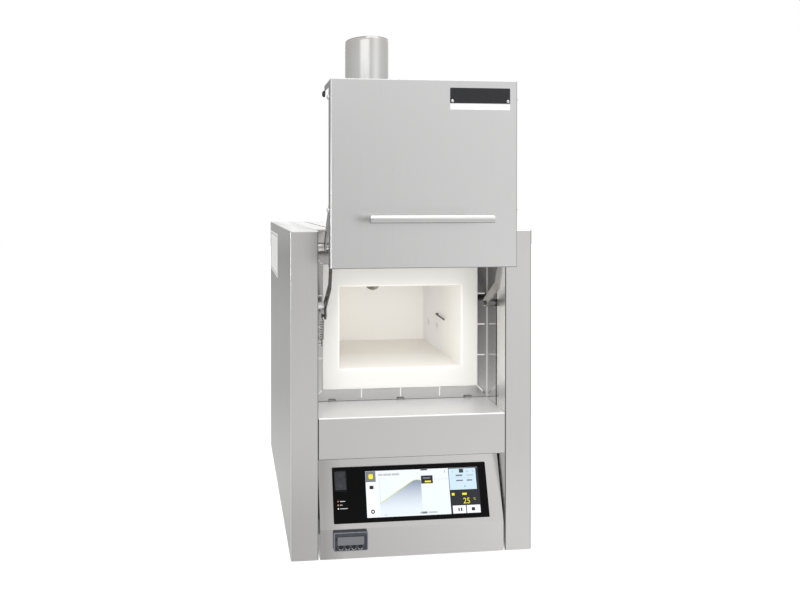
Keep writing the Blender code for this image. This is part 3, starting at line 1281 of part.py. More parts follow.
def build_spring(furnace):
    """Tension spring between the left lever's tail and a stud in the left recess wall."""
    shift = Vector((-LEVER_OUTER_X - SPRING_OFFSET, 0, 0))
    points = [point + shift for point in spring_points()]
    gap = least_gap(points, SPRING_WIRE_RADIUS, SPRING_CURL_POINTS // 2)
    print(f"lift_spring: least gap to itself {gap * 1000:.2f} mm, wanted over {LEAST_GAP * 1000:.1f} mm")
    tube_object("lift_spring", points, SPRING_WIRE_RADIUS, SPRING_STEEL, furnace, points[0])
    bm = bmesh.new()
    add_turned(bm, *spring_stud(INNER - SEAM, spring_anchor_place(), -1))
    solid("spring_anchor", bm, POLISHED, furnace)


def main():
    """Builds the furnace, the tilted panel's frame and the door's frame, then every piece."""
    clear_scene()
    furnace = frame_at("furnace_frame", (0, -CENTRE_Y, 0))
    panel = frame_at("panel_frame", (0, 0, BASE + PANEL_FOLD_HEIGHT), furnace)
    panel.rotation_euler = (math.pi / 2 - PANEL_TILT, 0, 0)
    door = frame_at("door_frame", DOOR_LOWER_PIVOT, furnace)
    build_feet(furnace)
    build_tray(furnace)
    for side, sign in (("left", -1), ("right", 1)):
        build_side_cover(furnace, side, sign)
    build_top_cover(furnace)
    build_rear_cover(furnace)
    build_inlet(furnace)
    build_recess(furnace)
    build_front_cover(furnace)
    build_insulation(furnace)
    build_thermocouple(furnace)
    build_cradle(furnace)
    build_chimney(furnace)
    build_housing(furnace, panel)
    build_panel(panel)
    build_switch(panel)
    build_limiter(furnace)
    build_base_parts(furnace)
    build_door(door)
    build_handle(door)
    build_brackets(door)
    build_pivots(furnace)
    build_linkage(furnace)
    build_spring(furnace)


main()
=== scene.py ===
"""Looks of a preheating furnace with a lift door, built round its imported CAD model.

Every length is in metres in the model's own frame: X across, Y to the back, Z up, with the
origin on the floor. The classes below each dress one sub-assembly of the furnace.
"""

import json
import logging
import math
from dataclasses import dataclass, field
from enum import Enum
from typing import Any, Dict, List, Optional, Sequence, Tuple

import bmesh
import bpy
from mathutils import Matrix, Vector, noise

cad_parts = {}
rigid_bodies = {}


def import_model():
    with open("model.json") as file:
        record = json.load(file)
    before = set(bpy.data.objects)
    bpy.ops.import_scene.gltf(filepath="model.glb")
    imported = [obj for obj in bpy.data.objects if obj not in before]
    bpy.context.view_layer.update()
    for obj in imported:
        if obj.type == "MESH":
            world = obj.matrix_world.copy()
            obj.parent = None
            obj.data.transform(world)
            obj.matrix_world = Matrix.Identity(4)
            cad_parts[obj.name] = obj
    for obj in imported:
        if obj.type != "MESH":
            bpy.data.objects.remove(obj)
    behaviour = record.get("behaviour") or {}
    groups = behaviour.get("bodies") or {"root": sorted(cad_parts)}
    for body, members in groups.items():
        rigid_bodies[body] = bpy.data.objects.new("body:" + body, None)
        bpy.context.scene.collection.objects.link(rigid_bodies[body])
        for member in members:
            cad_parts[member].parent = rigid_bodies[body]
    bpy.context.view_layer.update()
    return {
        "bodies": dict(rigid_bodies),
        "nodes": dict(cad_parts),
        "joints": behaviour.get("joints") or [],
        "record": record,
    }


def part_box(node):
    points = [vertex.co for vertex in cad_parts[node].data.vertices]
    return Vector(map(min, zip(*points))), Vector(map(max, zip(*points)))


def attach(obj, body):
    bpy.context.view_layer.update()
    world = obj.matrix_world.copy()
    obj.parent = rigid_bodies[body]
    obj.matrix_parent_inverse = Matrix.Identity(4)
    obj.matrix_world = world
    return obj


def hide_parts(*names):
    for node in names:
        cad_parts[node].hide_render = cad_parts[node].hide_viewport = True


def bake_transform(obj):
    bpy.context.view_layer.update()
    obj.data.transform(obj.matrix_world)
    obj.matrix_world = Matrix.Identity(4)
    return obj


LOG = logging.getLogger("furnace")
FULL_TURN = 2 * math.pi
SMOOTH_ANGLE = math.radians(35)
Point = Sequence[float]
Colour = Tuple[float, float, float]
Socket = Any

# Scales of the grain's hairlines and of its broad bands, across it and along it
HAIR = (2600.0, 9.0)
BROAD = (170.0, 1.6)
HAIR_HEIGHT = 0.000004


class Axis(Enum):
    """A direction of the model's frame."""

    X = 0
    Y = 1
    Z = 2


class Body(Enum):
    """The rigid bodies that pieces ride on."""

    CASING = "casing"
    DOOR = "door"
    LEVER_LEFT = "lever_left"
    ROCKER = "switch_rocker"
    KEY_1 = "limiter_key_1"
    KEY_2 = "limiter_key_2"
    KEY_3 = "limiter_key_3"
    KEY_4 = "limiter_key_4"


class Slot(Enum):
    """The record's material slots."""

    SHEET = "brushed_sheet"
    BRIGHT = "polished_sheet"
    TURNED = "polished_steel"
    FIBRE = "ceramic_fibre"
    SPRING = "spring_steel"
    BLACK = "black_panel"
    SCREEN = "screen"
    DARK = "dark_plastic"
    SLATE = "slate_plastic"
    WINDOW = "smoked_window"
    LIGHT = "light_guide"


class Socketed(Enum):
    """How a ring of a turned shape runs round its axis, unless it is round."""

    HEXAGON = 6


class Graph:
    """Builds the shader nodes of one material."""

    def __init__(self, name: str) -> None:
        """Starts an empty material.

        Args:
            name: The material's name.
        """
        self.material = bpy.data.materials.new(name)
        self.material.use_nodes = True
        self.tree = self.material.node_tree
        self.tree.nodes.clear()

    def add(self, kind: str, inputs: Optional[Dict[Any, Any]] = None, **settings: Any) -> bpy.types.Node:
        """Adds a node and fills its sockets.

        Args:
            kind: The node's type name, without its ShaderNode prefix.
            inputs: Values or sockets by input name or number.
            settings: Properties of the node itself.

        Returns:
            The new node.
        """
        node = self.tree.nodes.new("ShaderNode" + kind)
        for key, value in settings.items():
            setattr(node, key, value)
        for key, value in (inputs or {}).items():
            if isinstance(value, bpy.types.NodeSocket):
                self.tree.links.new(value, node.inputs[key])
            else:
                node.inputs[key].default_value = value
        return node

    def coordinates(self, scale: Point = (1, 1, 1)) -> Socket:
        """Object coordinates, stretched.

        Args:
            scale: How many times each axis is stretched.

        Returns:
            The vector socket.
        """
        where = self.add("TexCoord").outputs["Object"]
        return self.add("Mapping", {"Vector": where, "Scale": scale}).outputs[0]

    def along(self, axis: Axis) -> Socket:
        """The place along one axis, in metres."""
        where = self.add("TexCoord").outputs["Object"]
        return self.add("SeparateXYZ", {0: where}).outputs[axis.value]

    def distance(self, place: Point, scale: Point = (1, 1, 1)) -> Socket:
        """How far a point of the surface is from a place, with axes stretched by a scale."""
        target = [coordinate * factor for coordinate, factor in zip(place, scale)]
        values = {0: self.coordinates(scale), 1: target}
        return self.add("VectorMath", values, operation="DISTANCE").outputs["Value"]

    def noise(self, where: Socket, scale: float, detail: float = 3, rough: float = 0.5) -> Socket:
        """A noise value over a place, from 0 to 1."""
        values = {"Vector": where, "Scale": scale, "Detail": detail, "Roughness": rough}
        return self.add("TexNoise", values).outputs["Fac"]

    def span(self, value: Socket, low: float, high: float, start: Any = 0.0,
             end: Any = 1.0) -> Socket:
        """Maps a value from one range to another, clamped."""
        limits = {"Value": value, "From Min": low, "From Max": high, "To Min": start, "To Max": end}
        return self.add("MapRange", limits).outputs["Result"]

    def within(self, limits: Sequence[Tuple[Axis, float, float]]) -> Socket:
        """One inside a range on each of the named axes, and nought elsewhere.

        Args:
            limits: An axis with its lower and upper limit, in metres, for each range.

        Returns:
            The mask socket.
        """
        mask: Any = 1.0
        for axis, low, high in limits:
            place = self.along(axis)
            above, below = self.math("GREATER_THAN", place, low), self.math("LESS_THAN", place, high)
            mask = self.math("MULTIPLY", mask, self.math("MULTIPLY", above, below))
        return mask

    def math(self, operation: str, one: Any, other: Any = 0.0) -> Socket:
        """The result of a math node."""
        return self.add("Math", {0: one, 1: other}, operation=operation).outputs[0]

    def mix(self, factor: Any, one: Any, other: Any) -> Socket:
        """A colour between two colours."""
        node = self.add("Mix", {"Factor": factor}, data_type="RGBA")
        for socket, value in ((node.inputs[6], one), (node.inputs[7], other)):
            if isinstance(value, bpy.types.NodeSocket):
                self.tree.links.new(value, socket)
            else:
                socket.default_value = (*value, 1)
        return node.outputs[2]

    def bump(self, height: Any, distance: float, strength: float = 1.0, normal: Any = None) -> Socket:
        """A normal from a height."""
        values = {"Height": height, "Distance": distance, "Strength": strength}
        if normal is not None:
            values["Normal"] = normal
        return self.add("Bump", values).outputs["Normal"]

    def finish(self, shader: Dict[Any, Any]) -> bpy.types.Material:
        """Adds the Principled shader and the output.

        Args:
            shader: Values or sockets of the Principled shader.

        Returns:
            The finished material.
        """
        main = self.add("BsdfPrincipled", shader)
        self.add("OutputMaterial", {"Surface": main.outputs[0]})
        return self.material


class Finish:
    """A surface finish that builds its material once and gives it to every piece that has it."""

    name: str

    def build(self) -> bpy.types.Material:
        """Builds the material."""
        raise NotImplementedError

    def material(self) -> bpy.types.Material:
        """The finish's material, made when it is first asked for."""
        found = bpy.data.materials.get(self.name)
        return found if found else self.build()


@dataclass(frozen=True)
class BrushedSteel(Finish):
    """Stainless sheet or bar with a fine grain along one axis."""

    name: str
    grain: Axis = Axis.X
    colour: Colour = (0.62, 0.615, 0.608)
    roughness: float = 0.34
    streak: float = 0.035
    anisotropy: float = 0.6
    smear: float = 0.02

    def tint(self, graph: Graph, colour: Socket) -> Socket:
        """Changes the steel's colour from place to place; plain sheet keeps it."""
        return colour

    def metal(self, graph: Graph) -> Any:
        """Share of the surface that mirrors as bare metal; plain sheet mirrors all over."""
        return 1.0

    def grained(self, graph: Graph, across: float, along: float, detail: float) -> Socket:
        """Noise drawn out along the grain: its scale across the grain and along it, and its detail."""
        scale = [across] * 3
        scale[self.grain.value] = along
        return graph.noise(graph.coordinates(scale), 1.0, detail)

    def build(self) -> bpy.types.Material:
        """Streaks along the grain vary colour, roughness and height; soft smears lie over them."""
        graph = Graph(self.name)
        hairlines = self.grained(graph, *HAIR, 2)
        bands = self.grained(graph, *BROAD, 3)
        smears = graph.noise(graph.coordinates(), 11.0, 4, 0.62)
        fine, broad = graph.math("MULTIPLY", hairlines, 0.75), graph.math("MULTIPLY", bands, 0.25)
        streaks = graph.math("ADD", fine, broad)
        shade = graph.span(streaks, 0.3, 0.7)
        dark = [channel * (1 - self.streak) for channel in self.colour]
        colour = self.tint(graph, graph.mix(shade, dark, self.colour))
        uneven = graph.span(streaks, 0.3, 0.7, self.roughness - 0.03, self.roughness + 0.03)
        rough = graph.math("ADD", uneven, graph.span(smears, 0.35, 0.75, -self.smear, self.smear))
        tangent = graph.add("Tangent", direction_type="RADIAL", axis=self.grain.name).outputs[0]
        return graph.finish({
            "Base Color": colour,
            "Metallic": self.metal(graph),
            "Roughness": rough,
            "Anisotropic": self.anisotropy,
            "Tangent": tangent,
            "Normal": graph.bump(hairlines, HAIR_HEIGHT, 0.4),
        })


@dataclass(frozen=True)
class Band:
    """A part of a sheet, such as the bend at one edge, whose colour takes a painted highlight or painted
    shade, or whose metal share changes.
    """

    limits: Tuple[Tuple[Axis, float, float], ...]
    shade: float


@dataclass(frozen=True)
class PaintedLightSheet(BrushedSteel):
    """Sheet with painted highlights and painted shade along its bends and seams, and painted shade towards
    one end.
    """

    # Bands carry painted highlights or painted shade; the fade is painted shade towards one end, given as
    # axis, dark end, light end and shade.
    bands: Tuple[Band, ...] = ()
    frosted: Optional[Band] = None
    fade: Optional[Tuple[Axis, float, float, float]] = None

    def metal(self, graph: Graph) -> Any:
        """Less of a mirror where the sheet is frosted."""
        if self.frosted is None:
            return 1.0
        return graph.span(graph.within(self.frosted.limits), 0.0, 1.0, 1.0, self.frosted.shade)

    def tint(self, graph: Graph, colour: Socket) -> Socket:
        """Paints shade towards one end of the sheet, then paints each band's highlight or shade in turn."""
        if self.fade is not None:
            axis, dark_end, light_end, shade = self.fade
            share = graph.span(graph.along(axis), dark_end, light_end, 1.0, 0.0)
            colour = graph.mix(share, colour, (shade, shade * 0.985, shade * 0.97))
        for band in self.bands:
            shade = tuple(band.shade * tone for tone in (1.0, 1.0, 0.995))
            colour = graph.mix(graph.within(band.limits), colour, shade)
        return colour


@dataclass(frozen=True)
class RecessSheet(BrushedSteel):
    """Bright sheet round the chamber, with painted reflection that darkens it with height where it would
    mirror the deep recess, and painted highlights and shade on its side walls.
    """

    # Colours and limits of the painted reflection and painted shade: the face darkens upwards and to the
    # right; the side walls darken upwards, with painted highlights at the corner and lip and a painted dark
    # line at the seam.
    face: Colour = (0.60, 0.595, 0.59)
    wall: Tuple[Colour, Colour] = ((0.76, 0.755, 0.75), (0.52, 0.508, 0.498))
    lip: Colour = (0.92, 0.92, 0.92)
    bright: Colour = (0.97, 0.97, 0.96)
    seam: Colour = (0.04, 0.04, 0.04)
    fold_x: Tuple[float, float] = (0.1490, 0.1492)
    corner_y: Tuple[float, float] = (-0.1034, -0.1028)
    seam_y: Tuple[float, float] = (-0.1356, -0.1322)
    rise_z: Tuple[float, float] = (0.2435, 0.42)
    dark_side_x: Tuple[float, float] = (-0.03, 0.08)
    dark_share: Tuple[float, float] = (0.40, 0.84)
    ripple: Tuple[float, float, float] = (130.0, 60.0, 2.0)
    ripple_depth: Tuple[float, float] = (0.75, 1.05)
    blend: float = 0.0004

    def tint(self, graph: Graph, colour: Socket) -> Socket:
        """Side walls with painted shade that darkens upwards, a painted highlight at the corner, a pale
        painted highlight on the lip and a painted dark line at the seam; a face with painted reflection that
        darkens upwards.
        """
        across, deep, up = graph.along(Axis.X), graph.along(Axis.Y), graph.along(Axis.Z)
        side = graph.span(graph.math("ABSOLUTE", across), *self.fold_x)
        height = graph.math("POWER", graph.span(up, *self.rise_z), 0.6)
        share = graph.span(across, *self.dark_side_x, *self.dark_share)
        ripples = graph.noise(graph.coordinates(self.ripple), 1.0, 3, 0.6)
        waves = graph.span(ripples, 0.3, 0.7, *self.ripple_depth)
        depth = graph.math("MULTIPLY", graph.math("MULTIPLY", height, share), waves)
        face = graph.mix(depth, self.face, colour)
        wall = graph.mix(graph.math("MULTIPLY", graph.math("POWER", height, 0.7), waves), *self.wall)
        wall = graph.mix(graph.span(deep, *self.corner_y), wall, self.bright)
        front, back = self.seam_y
        wall = graph.mix(graph.span(deep, back, back + self.blend, 1.0, 0.0), wall, self.seam)
        wall = graph.mix(graph.span(deep, front - self.blend, front, 1.0, 0.0), wall, self.lip)
        return graph.mix(side, face, wall)


@dataclass(frozen=True)
class SootedPipe(BrushedSteel):
    """Pipe steel with soot on its inner wall, faintly warm below the rim, with painted shade on the rim's top
    edge.
    """

    centre_y: float = 0.134
    inner_radius: float = 0.0443
    rim_z: float = 0.8885
    soot: Colour = (0.10, 0.095, 0.09)
    warm: Colour = (0.60, 0.575, 0.53)
    # Painted shade on the rim's top edge, over these heights.
    edge: Colour = (0.26, 0.26, 0.26)
    edge_z: Tuple[float, float] = (0.8871, 0.8875)

    def tint(self, graph: Graph, colour: Socket) -> Socket:
        """Soot inside the bore, a warm tint under the rim and painted shade on its top edge."""
        across = graph.math("POWER", graph.along(Axis.X), 2.0)
        deep = graph.math("POWER", graph.math("SUBTRACT", graph.along(Axis.Y), self.centre_y), 2.0)
        radius = graph.math("SQRT", graph.math("ADD", across, deep))
        inside = graph.span(radius, self.inner_radius - 0.0002, self.inner_radius, 0.85, 0.0)
        heat = graph.span(graph.along(Axis.Z), self.rim_z - 0.05, self.rim_z, 0.0, 0.5)
        worn = graph.mix(inside, graph.mix(heat, colour, self.warm), self.soot)
        return graph.mix(graph.span(graph.along(Axis.Z), *self.edge_z), worn, self.edge)


@dataclass(frozen=True)
class PressedFibre(Finish):
    """Warm white ceramic fibre, matt, with fine fibres, faint stains and a few handled marks."""

    name: str
    colour: Colour = (0.93, 0.921, 0.908)
    stain: Colour = (0.80, 0.765, 0.73)
    marks: Tuple[Point, ...] = ()
    mark_size: float = 0.006
    mark_colour: Colour = (0.52, 0.49, 0.45)

    def build(self) -> bpy.types.Material:
        """Fine fibre bumps, soft lumps, faint stains and marks at given places."""
        graph = Graph(self.name)
        where = graph.coordinates()
        fibres = graph.noise(graph.coordinates((1, 1, 2.5)), 1300.0, 4, 0.75)
        lumps = graph.noise(where, 70.0, 4, 0.55)
        patches = graph.noise(where, 13.0, 5, 0.6)
        specks = graph.add("TexVoronoi", {"Vector": where, "Scale": 260.0}).outputs["Distance"]
        colour = graph.mix(graph.span(patches, 0.5, 0.85, 0.0, 0.45), self.colour, self.stain)
        colour = graph.mix(graph.span(specks, 0.02, 0.07, 0.30, 0.0), colour, self.stain)
        for place in self.marks:
            spread = graph.math("ADD", graph.distance(place), graph.span(lumps, 0.3, 0.7, -0.002, 0.002))
            colour = graph.mix(graph.span(spread, 0, self.mark_size, 0.6, 0.0), colour, self.mark_colour)
        soft = graph.bump(lumps, 0.0008, 0.45)
        return graph.finish({
            "Base Color": colour,
            "Roughness": graph.span(fibres, 0.3, 0.7, 0.85, 0.98),
            "Specular IOR Level": 0.2,
            "Sheen Weight": 0.15,
            "Normal": graph.bump(fibres, 0.00025, 0.6, soft),
        })


@dataclass(frozen=True)
class Moulded(Finish):
    """Moulded plastic, rubber or enamel with a fine grain."""

    name: str
    colour: Colour
    roughness: float = 0.45
    grain: float = 0.00003
    gloss: float = 0.5

    def build(self) -> bpy.types.Material:
        """Spark-eroded texture and light handling marks."""
        graph = Graph(self.name)
        spark = graph.noise(graph.coordinates(), 2500.0, 2)
        marks = graph.noise(graph.coordinates(), 90.0, 5, 0.62)
        light = [min(1.0, channel * 1.35 + self.grain * 100) for channel in self.colour]
        colour = graph.mix(graph.span(marks, 0.5, 0.8), self.colour, light)
        return graph.finish({
            "Base Color": colour,
            "Roughness": graph.span(marks, 0.3, 0.7, self.roughness - 0.04, self.roughness + 0.06),
            "Specular IOR Level": self.gloss,
            "Normal": graph.bump(spark, self.grain, 0.5),
        })


@dataclass(frozen=True)
class Lit(Finish):
    """A lit area of the display under its cover, fading from its lower to its upper edge."""

    name: str
    low: Colour
    high: Colour
    strength: float = 0.9
    low_z: float = 0.063
    high_z: float = 0.128
    ease: float = 1.0

    def build(self) -> bpy.types.Material:
        """A glow that fades upwards, in fine rows of picture points, under a gloss cover."""
        graph = Graph(self.name)
        fade = graph.math("POWER", graph.span(graph.along(Axis.Z), self.low_z, self.high_z), self.ease)
        rows = graph.noise(graph.coordinates(), 4000.0, 1)
        glow = graph.mix(fade, self.low, self.high)
        dim = [channel * 0.06 for channel in self.high]
        colour = graph.mix(graph.span(rows, 0.4, 0.6, 0.0, 0.1), dim, self.low)
        return graph.finish({
            "Base Color": colour,
            "Roughness": 0.18,
            "Emission Color": glow,
            "Emission Strength": self.strength,
        })


def glowing(name: str, colour: Colour, strength: float) -> Lit:
    """A lit finish of one even colour."""
    return Lit(name, colour, colour, strength)


STEEL_X = BrushedSteel("steel_grain_across", Axis.X)
STEEL_Z = BrushedSteel("steel_grain_upright", Axis.Z)
BEND = 0.0012
FRONT_Y = -0.164
COLUMN_X = (0.1495, 0.1925)
COLUMN_TOP = 0.5105
COVER_Z = (0.1565, 0.2207)
COVER_HALF = 0.1492
DOOR_HALF = 0.1399
DOOR_Y = -0.218
DOOR_Z = (0.4585, 0.7345)
AT_FRONT = (Axis.Y, FRONT_Y - 0.001, FRONT_Y + BEND)
AT_DOOR_FACE = (Axis.Y, DOOR_Y - 0.001, DOOR_Y + BEND)
# Painted highlight on the left outer bend and the top bends; painted shade on the inner bends, beside the
# left outer bend and on the right outer bend; a pale painted reflection on the inward returns.
COLUMN_SHEET = PaintedLightSheet("column_sheet", Axis.Z, bands=(
    Band(((Axis.X, -COLUMN_X[0] - 0.002, COLUMN_X[0] + 0.002), (Axis.Y, FRONT_Y + BEND, -0.14)), 0.90),
    Band(((Axis.X, -COLUMN_X[0] - BEND, COLUMN_X[0] + BEND), AT_FRONT), 0.16),
    Band(((Axis.Z, COLUMN_TOP - BEND, COLUMN_TOP + BEND), AT_FRONT), 0.95),
    Band(((Axis.X, -COLUMN_X[1] - BEND, BEND - COLUMN_X[1]), AT_FRONT), 0.90),
    Band(((Axis.X, BEND - COLUMN_X[1], BEND * 1.6 - COLUMN_X[1]), AT_FRONT), 0.42),
    Band(((Axis.X, COLUMN_X[1] - BEND * 1.5, COLUMN_X[1] + BEND), AT_FRONT), 0.26),
))
# Painted shade along the top cover's edges, in the seams over the side covers.
TOP_SEAM = 0.0009
ABOVE_COLUMN = (Axis.Z, COLUMN_TOP - 0.004, 1.0)
TOP_SHEET = PaintedLightSheet("top_cover_sheet", Axis.Y, bands=(
    Band(((Axis.X, -1.0, TOP_SEAM - COVER_HALF), ABOVE_COLUMN), 0.08),
    Band(((Axis.X, COVER_HALF - TOP_SEAM, 1.0), ABOVE_COLUMN), 0.08),
))
# Painted shadow under the front cover's lower edge, and a darker painted reflection towards the housing's
# left end.
HOUSING_SHEET = PaintedLightSheet("housing_sheet", Axis.X, (0.62, 0.61, 0.605), 0.20, 0.03, 0.15, bands=(
    Band(((Axis.Z, COVER_Z[0] - BEND, 1.0),), 0.22),), fade=(Axis.X, -0.140, -0.108, 0.46))
# The sill is painted pale as painted reflection; painted shade lies along the sill's rear seam, on its
# upstand tabs, on the lower bend and in the gaps at both ends; the top bend has a painted highlight.
SILL = ((Axis.Y, FRONT_Y + BEND, 0.0), (Axis.Z, COVER_Z[1] - 0.001, 1.0))
COVER_SEAM = 0.0005
BELOW_SILL = (Axis.Z, 0.0, COVER_Z[1])
SILL_SEAM_Y = -0.1013
UPSTAND_Y = -0.1050
UPSTAND_HEIGHT = 0.0042
COVER_SHEET = PaintedLightSheet("front_cover_sheet", Axis.X, bands=(
    Band(((Axis.Z, COVER_Z[1] - BEND, 1.0), (Axis.Y, FRONT_Y + BEND, 0.0)), 0.88),
    Band(((Axis.Y, SILL_SEAM_Y, 0.0), (Axis.Z, COVER_Z[1], 1.0)), 0.10),
    Band(((Axis.Y, UPSTAND_Y, 0.0), (Axis.Z, COVER_Z[1] + UPSTAND_HEIGHT, 1.0)), 0.25),
    Band(((Axis.Z, COVER_Z[1] - BEND, COVER_Z[1] + BEND), AT_FRONT), 0.84),
    Band(((Axis.Z, COVER_Z[0] - BEND, COVER_Z[0] + BEND), AT_FRONT), 0.08),
    Band(((Axis.X, -1.0, COVER_SEAM - COVER_HALF), BELOW_SILL), 0.10),
    Band(((Axis.X, COVER_HALF - COVER_SEAM, 1.0), BELOW_SILL), 0.20),
), frosted=Band(SILL, 0.5))
# Painted highlights on the door's left and top bends, painted shade on its right and bottom bends, and a
# darker painted reflection on its left flange.
DOOR_STEEL = PaintedLightSheet("door_sheet", Axis.Z, (0.64, 0.64, 0.638), 0.32, 0.03, 0.5, bands=(
    Band(((Axis.X, -1.0, BEND - DOOR_HALF), (Axis.Y, DOOR_Y + BEND, 0.0)), 0.34),
    Band(((Axis.X, -1.0, BEND - DOOR_HALF), AT_DOOR_FACE), 0.95),
    Band(((Axis.Z, DOOR_Z[1] - BEND, 1.0), AT_DOOR_FACE), 0.85),
    Band(((Axis.X, DOOR_HALF - BEND, 1.0), AT_DOOR_FACE), 0.26),
    Band(((Axis.Z, 0.0, DOOR_Z[0] + BEND), AT_DOOR_FACE), 0.26),
))
PIPE_STEEL = SootedPipe("exhaust_pipe_sheet", Axis.Z, (0.66, 0.66, 0.655), 0.20, 0.08, 0.4)
# The left lever takes a dark copy of the lever steel as painted shade.
LEVER_STEEL = BrushedSteel("lever_bar", Axis.Z, (0.42, 0.41, 0.40), 0.22, 0.30, 0.3)
LEVER_PAINTED_SHADE = BrushedSteel("lever_bar_painted_shade", Axis.Z, (0.13, 0.125, 0.12), 0.25, 0.20, 0.3)
# Its base colour is the dark end of the face's painted reflection.
BRIGHT_SHEET = RecessSheet("bright_recess_sheet", Axis.Z, (0.20, 0.19, 0.182), 0.17, 0.12, 0.5)
POLISHED = BrushedSteel("polished_turned_steel", Axis.X, (0.70, 0.70, 0.69), 0.14, 0.05, 0.0)
# Painted shade on the handle bar's lower half, darker still on its underside.
HANDLE_LOWER_HALF = (Axis.Z, 0.0, 0.5318)
HANDLE_UNDERSIDE = (Axis.Z, 0.0, 0.5272)
HANDLE_STEEL = PaintedLightSheet("handle_bar_steel", Axis.X, (0.72, 0.72, 0.715), 0.13, 0.03, 0.2, bands=(
    Band((HANDLE_LOWER_HALF,), 0.56), Band((HANDLE_UNDERSIDE,), 0.44)))
# The left pins take a brighter copy of the turned steel as painted highlight; the right pins take a dark copy
# as painted shade.
PIN_STEEL = BrushedSteel("pin_steel", Axis.X, (0.85, 0.85, 0.84), 0.38, 0.04, 0.0)
PIN_PAINTED_SHADE = BrushedSteel("pin_steel_painted_shade", Axis.X, (0.22, 0.215, 0.21), 0.22, 0.10, 0.0)
ZINC = BrushedSteel("zinc_plate", Axis.X, (0.50, 0.51, 0.53), 0.42, 0.15, 0.0)
DARK_WIRE = BrushedSteel("spring_wire", Axis.Z, (0.13, 0.125, 0.12), 0.30, 0.10, 0.0)
HOT_WIRE = BrushedSteel("sheath_steel", Axis.Y, (0.16, 0.145, 0.14), 0.42, 0.20, 0.0)
FIBRE = PressedFibre("ceramic_fibre")
HOT_CERAMIC = PressedFibre("fired_ceramic", (0.922, 0.914, 0.913), (0.78, 0.750, 0.742))
HOT_CERAMIC_RIGHT = PressedFibre("fired_ceramic_marked", (0.922, 0.914, 0.913), (0.78, 0.750, 0.742),
                                 ((0.104, 0.056, 0.3205), (0.104, 0.011, 0.3215)), 0.0085, (0.56, 0.53, 0.51))
DARK_PLASTIC = Moulded("dark_moulding", (0.030, 0.034, 0.042), 0.38)
ROCKER_PLASTIC = Moulded("rocker_moulding", (0.016, 0.019, 0.026), 0.26)
SLATE_PLASTIC = Moulded("slate_moulding", (0.052, 0.056, 0.071), 0.36, gloss=0.3)
BOLT_BLACK = Moulded("blackened_bolt", (0.035, 0.034, 0.033), 0.38, gloss=0.4)
# The limiter's raised edge is lighter than its body as a painted highlight on its rounded rim.
SLATE_EDGE = Moulded("slate_edge", (0.22, 0.23, 0.26), 0.28)
# Light crescents below the limiter's keys are painted highlights on the rims round the keys.
KEY_RIM_HIGHLIGHT = Moulded("key_rim_highlight", (0.62, 0.63, 0.65), 0.30)
RUBBER = Moulded("foot_rubber", (0.025, 0.025, 0.025), 0.75, 0.00008)
GLOSS_BLACK = Moulded("black_gloss_front", (0.0012, 0.0012, 0.0013), 0.07, 0.0, 0.09)
ENAMEL = Moulded("dark_enamel", (0.012, 0.012, 0.015), 0.20, 0.0, 0.35)
PALE_FOIL = Moulded("pale_foil", (0.80, 0.80, 0.80), 0.35, 0.0)
WHITE_FOIL = Moulded("white_foil", (0.93, 0.93, 0.92), 0.5, 0.0, 0.2)
FOIL_PRINT = Moulded("foil_print", (0.30, 0.30, 0.30), 0.5, 0.0, 0.2)
SMOKED = Moulded("smoked_window", (0.018, 0.019, 0.025), 0.16, 0.0, 0.20)
ROCKER_SIGN = Moulded("rocker_sign", (0.07, 0.075, 0.09), 0.4, 0.0)
PANEL_MARK = Moulded("panel_print", (0.55, 0.56, 0.58), 0.4, 0.0)
LIGHT_TIP = Moulded("light_tip", (0.85, 0.75, 0.55), 0.3, 0.0)
LAMP_RED = glowing("lamp_red", (0.80, 0.16, 0.09), 0.55)
LAMP_PINK = glowing("lamp_pink", (0.85, 0.42, 0.38), 0.6)
LAMP_WHITE = glowing("lamp_white", (0.95, 0.90, 0.80), 0.85)
SHOW_WHITE = Lit("display_white", (0.93, 0.96, 1.0), (0.95, 0.97, 1.0), 0.96)
SHOW_PLOT = Lit("display_plot", (0.86, 0.93, 1.0), (0.88, 0.93, 0.98), 0.92)
SHOW_FILL = Lit("display_area", (0.86, 0.93, 1.0), (0.13, 0.19, 0.32), 0.92, 0.070, 0.116, 1.5)
SHOW_LINE = Lit("display_curve", (0.62, 0.66, 0.10), (0.62, 0.66, 0.12), 0.9)
SHOW_CARD = Lit("display_card", (0.60, 0.78, 0.93), (0.62, 0.79, 0.93), 0.95)
SHOW_GREEN = glowing("display_green", (0.025, 0.06, 0.03), 0.9)
SHOW_BLACK = glowing("display_black", (0.006, 0.008, 0.014), 0.9)
SHOW_GREY = glowing("display_grey", (0.20, 0.21, 0.24), 0.9)
SHOW_PALE_GREY = glowing("display_pale_grey", (0.55, 0.57, 0.60), 0.9)
SHOW_YELLOW = glowing("display_yellow", (0.95, 0.83, 0.02), 0.95)

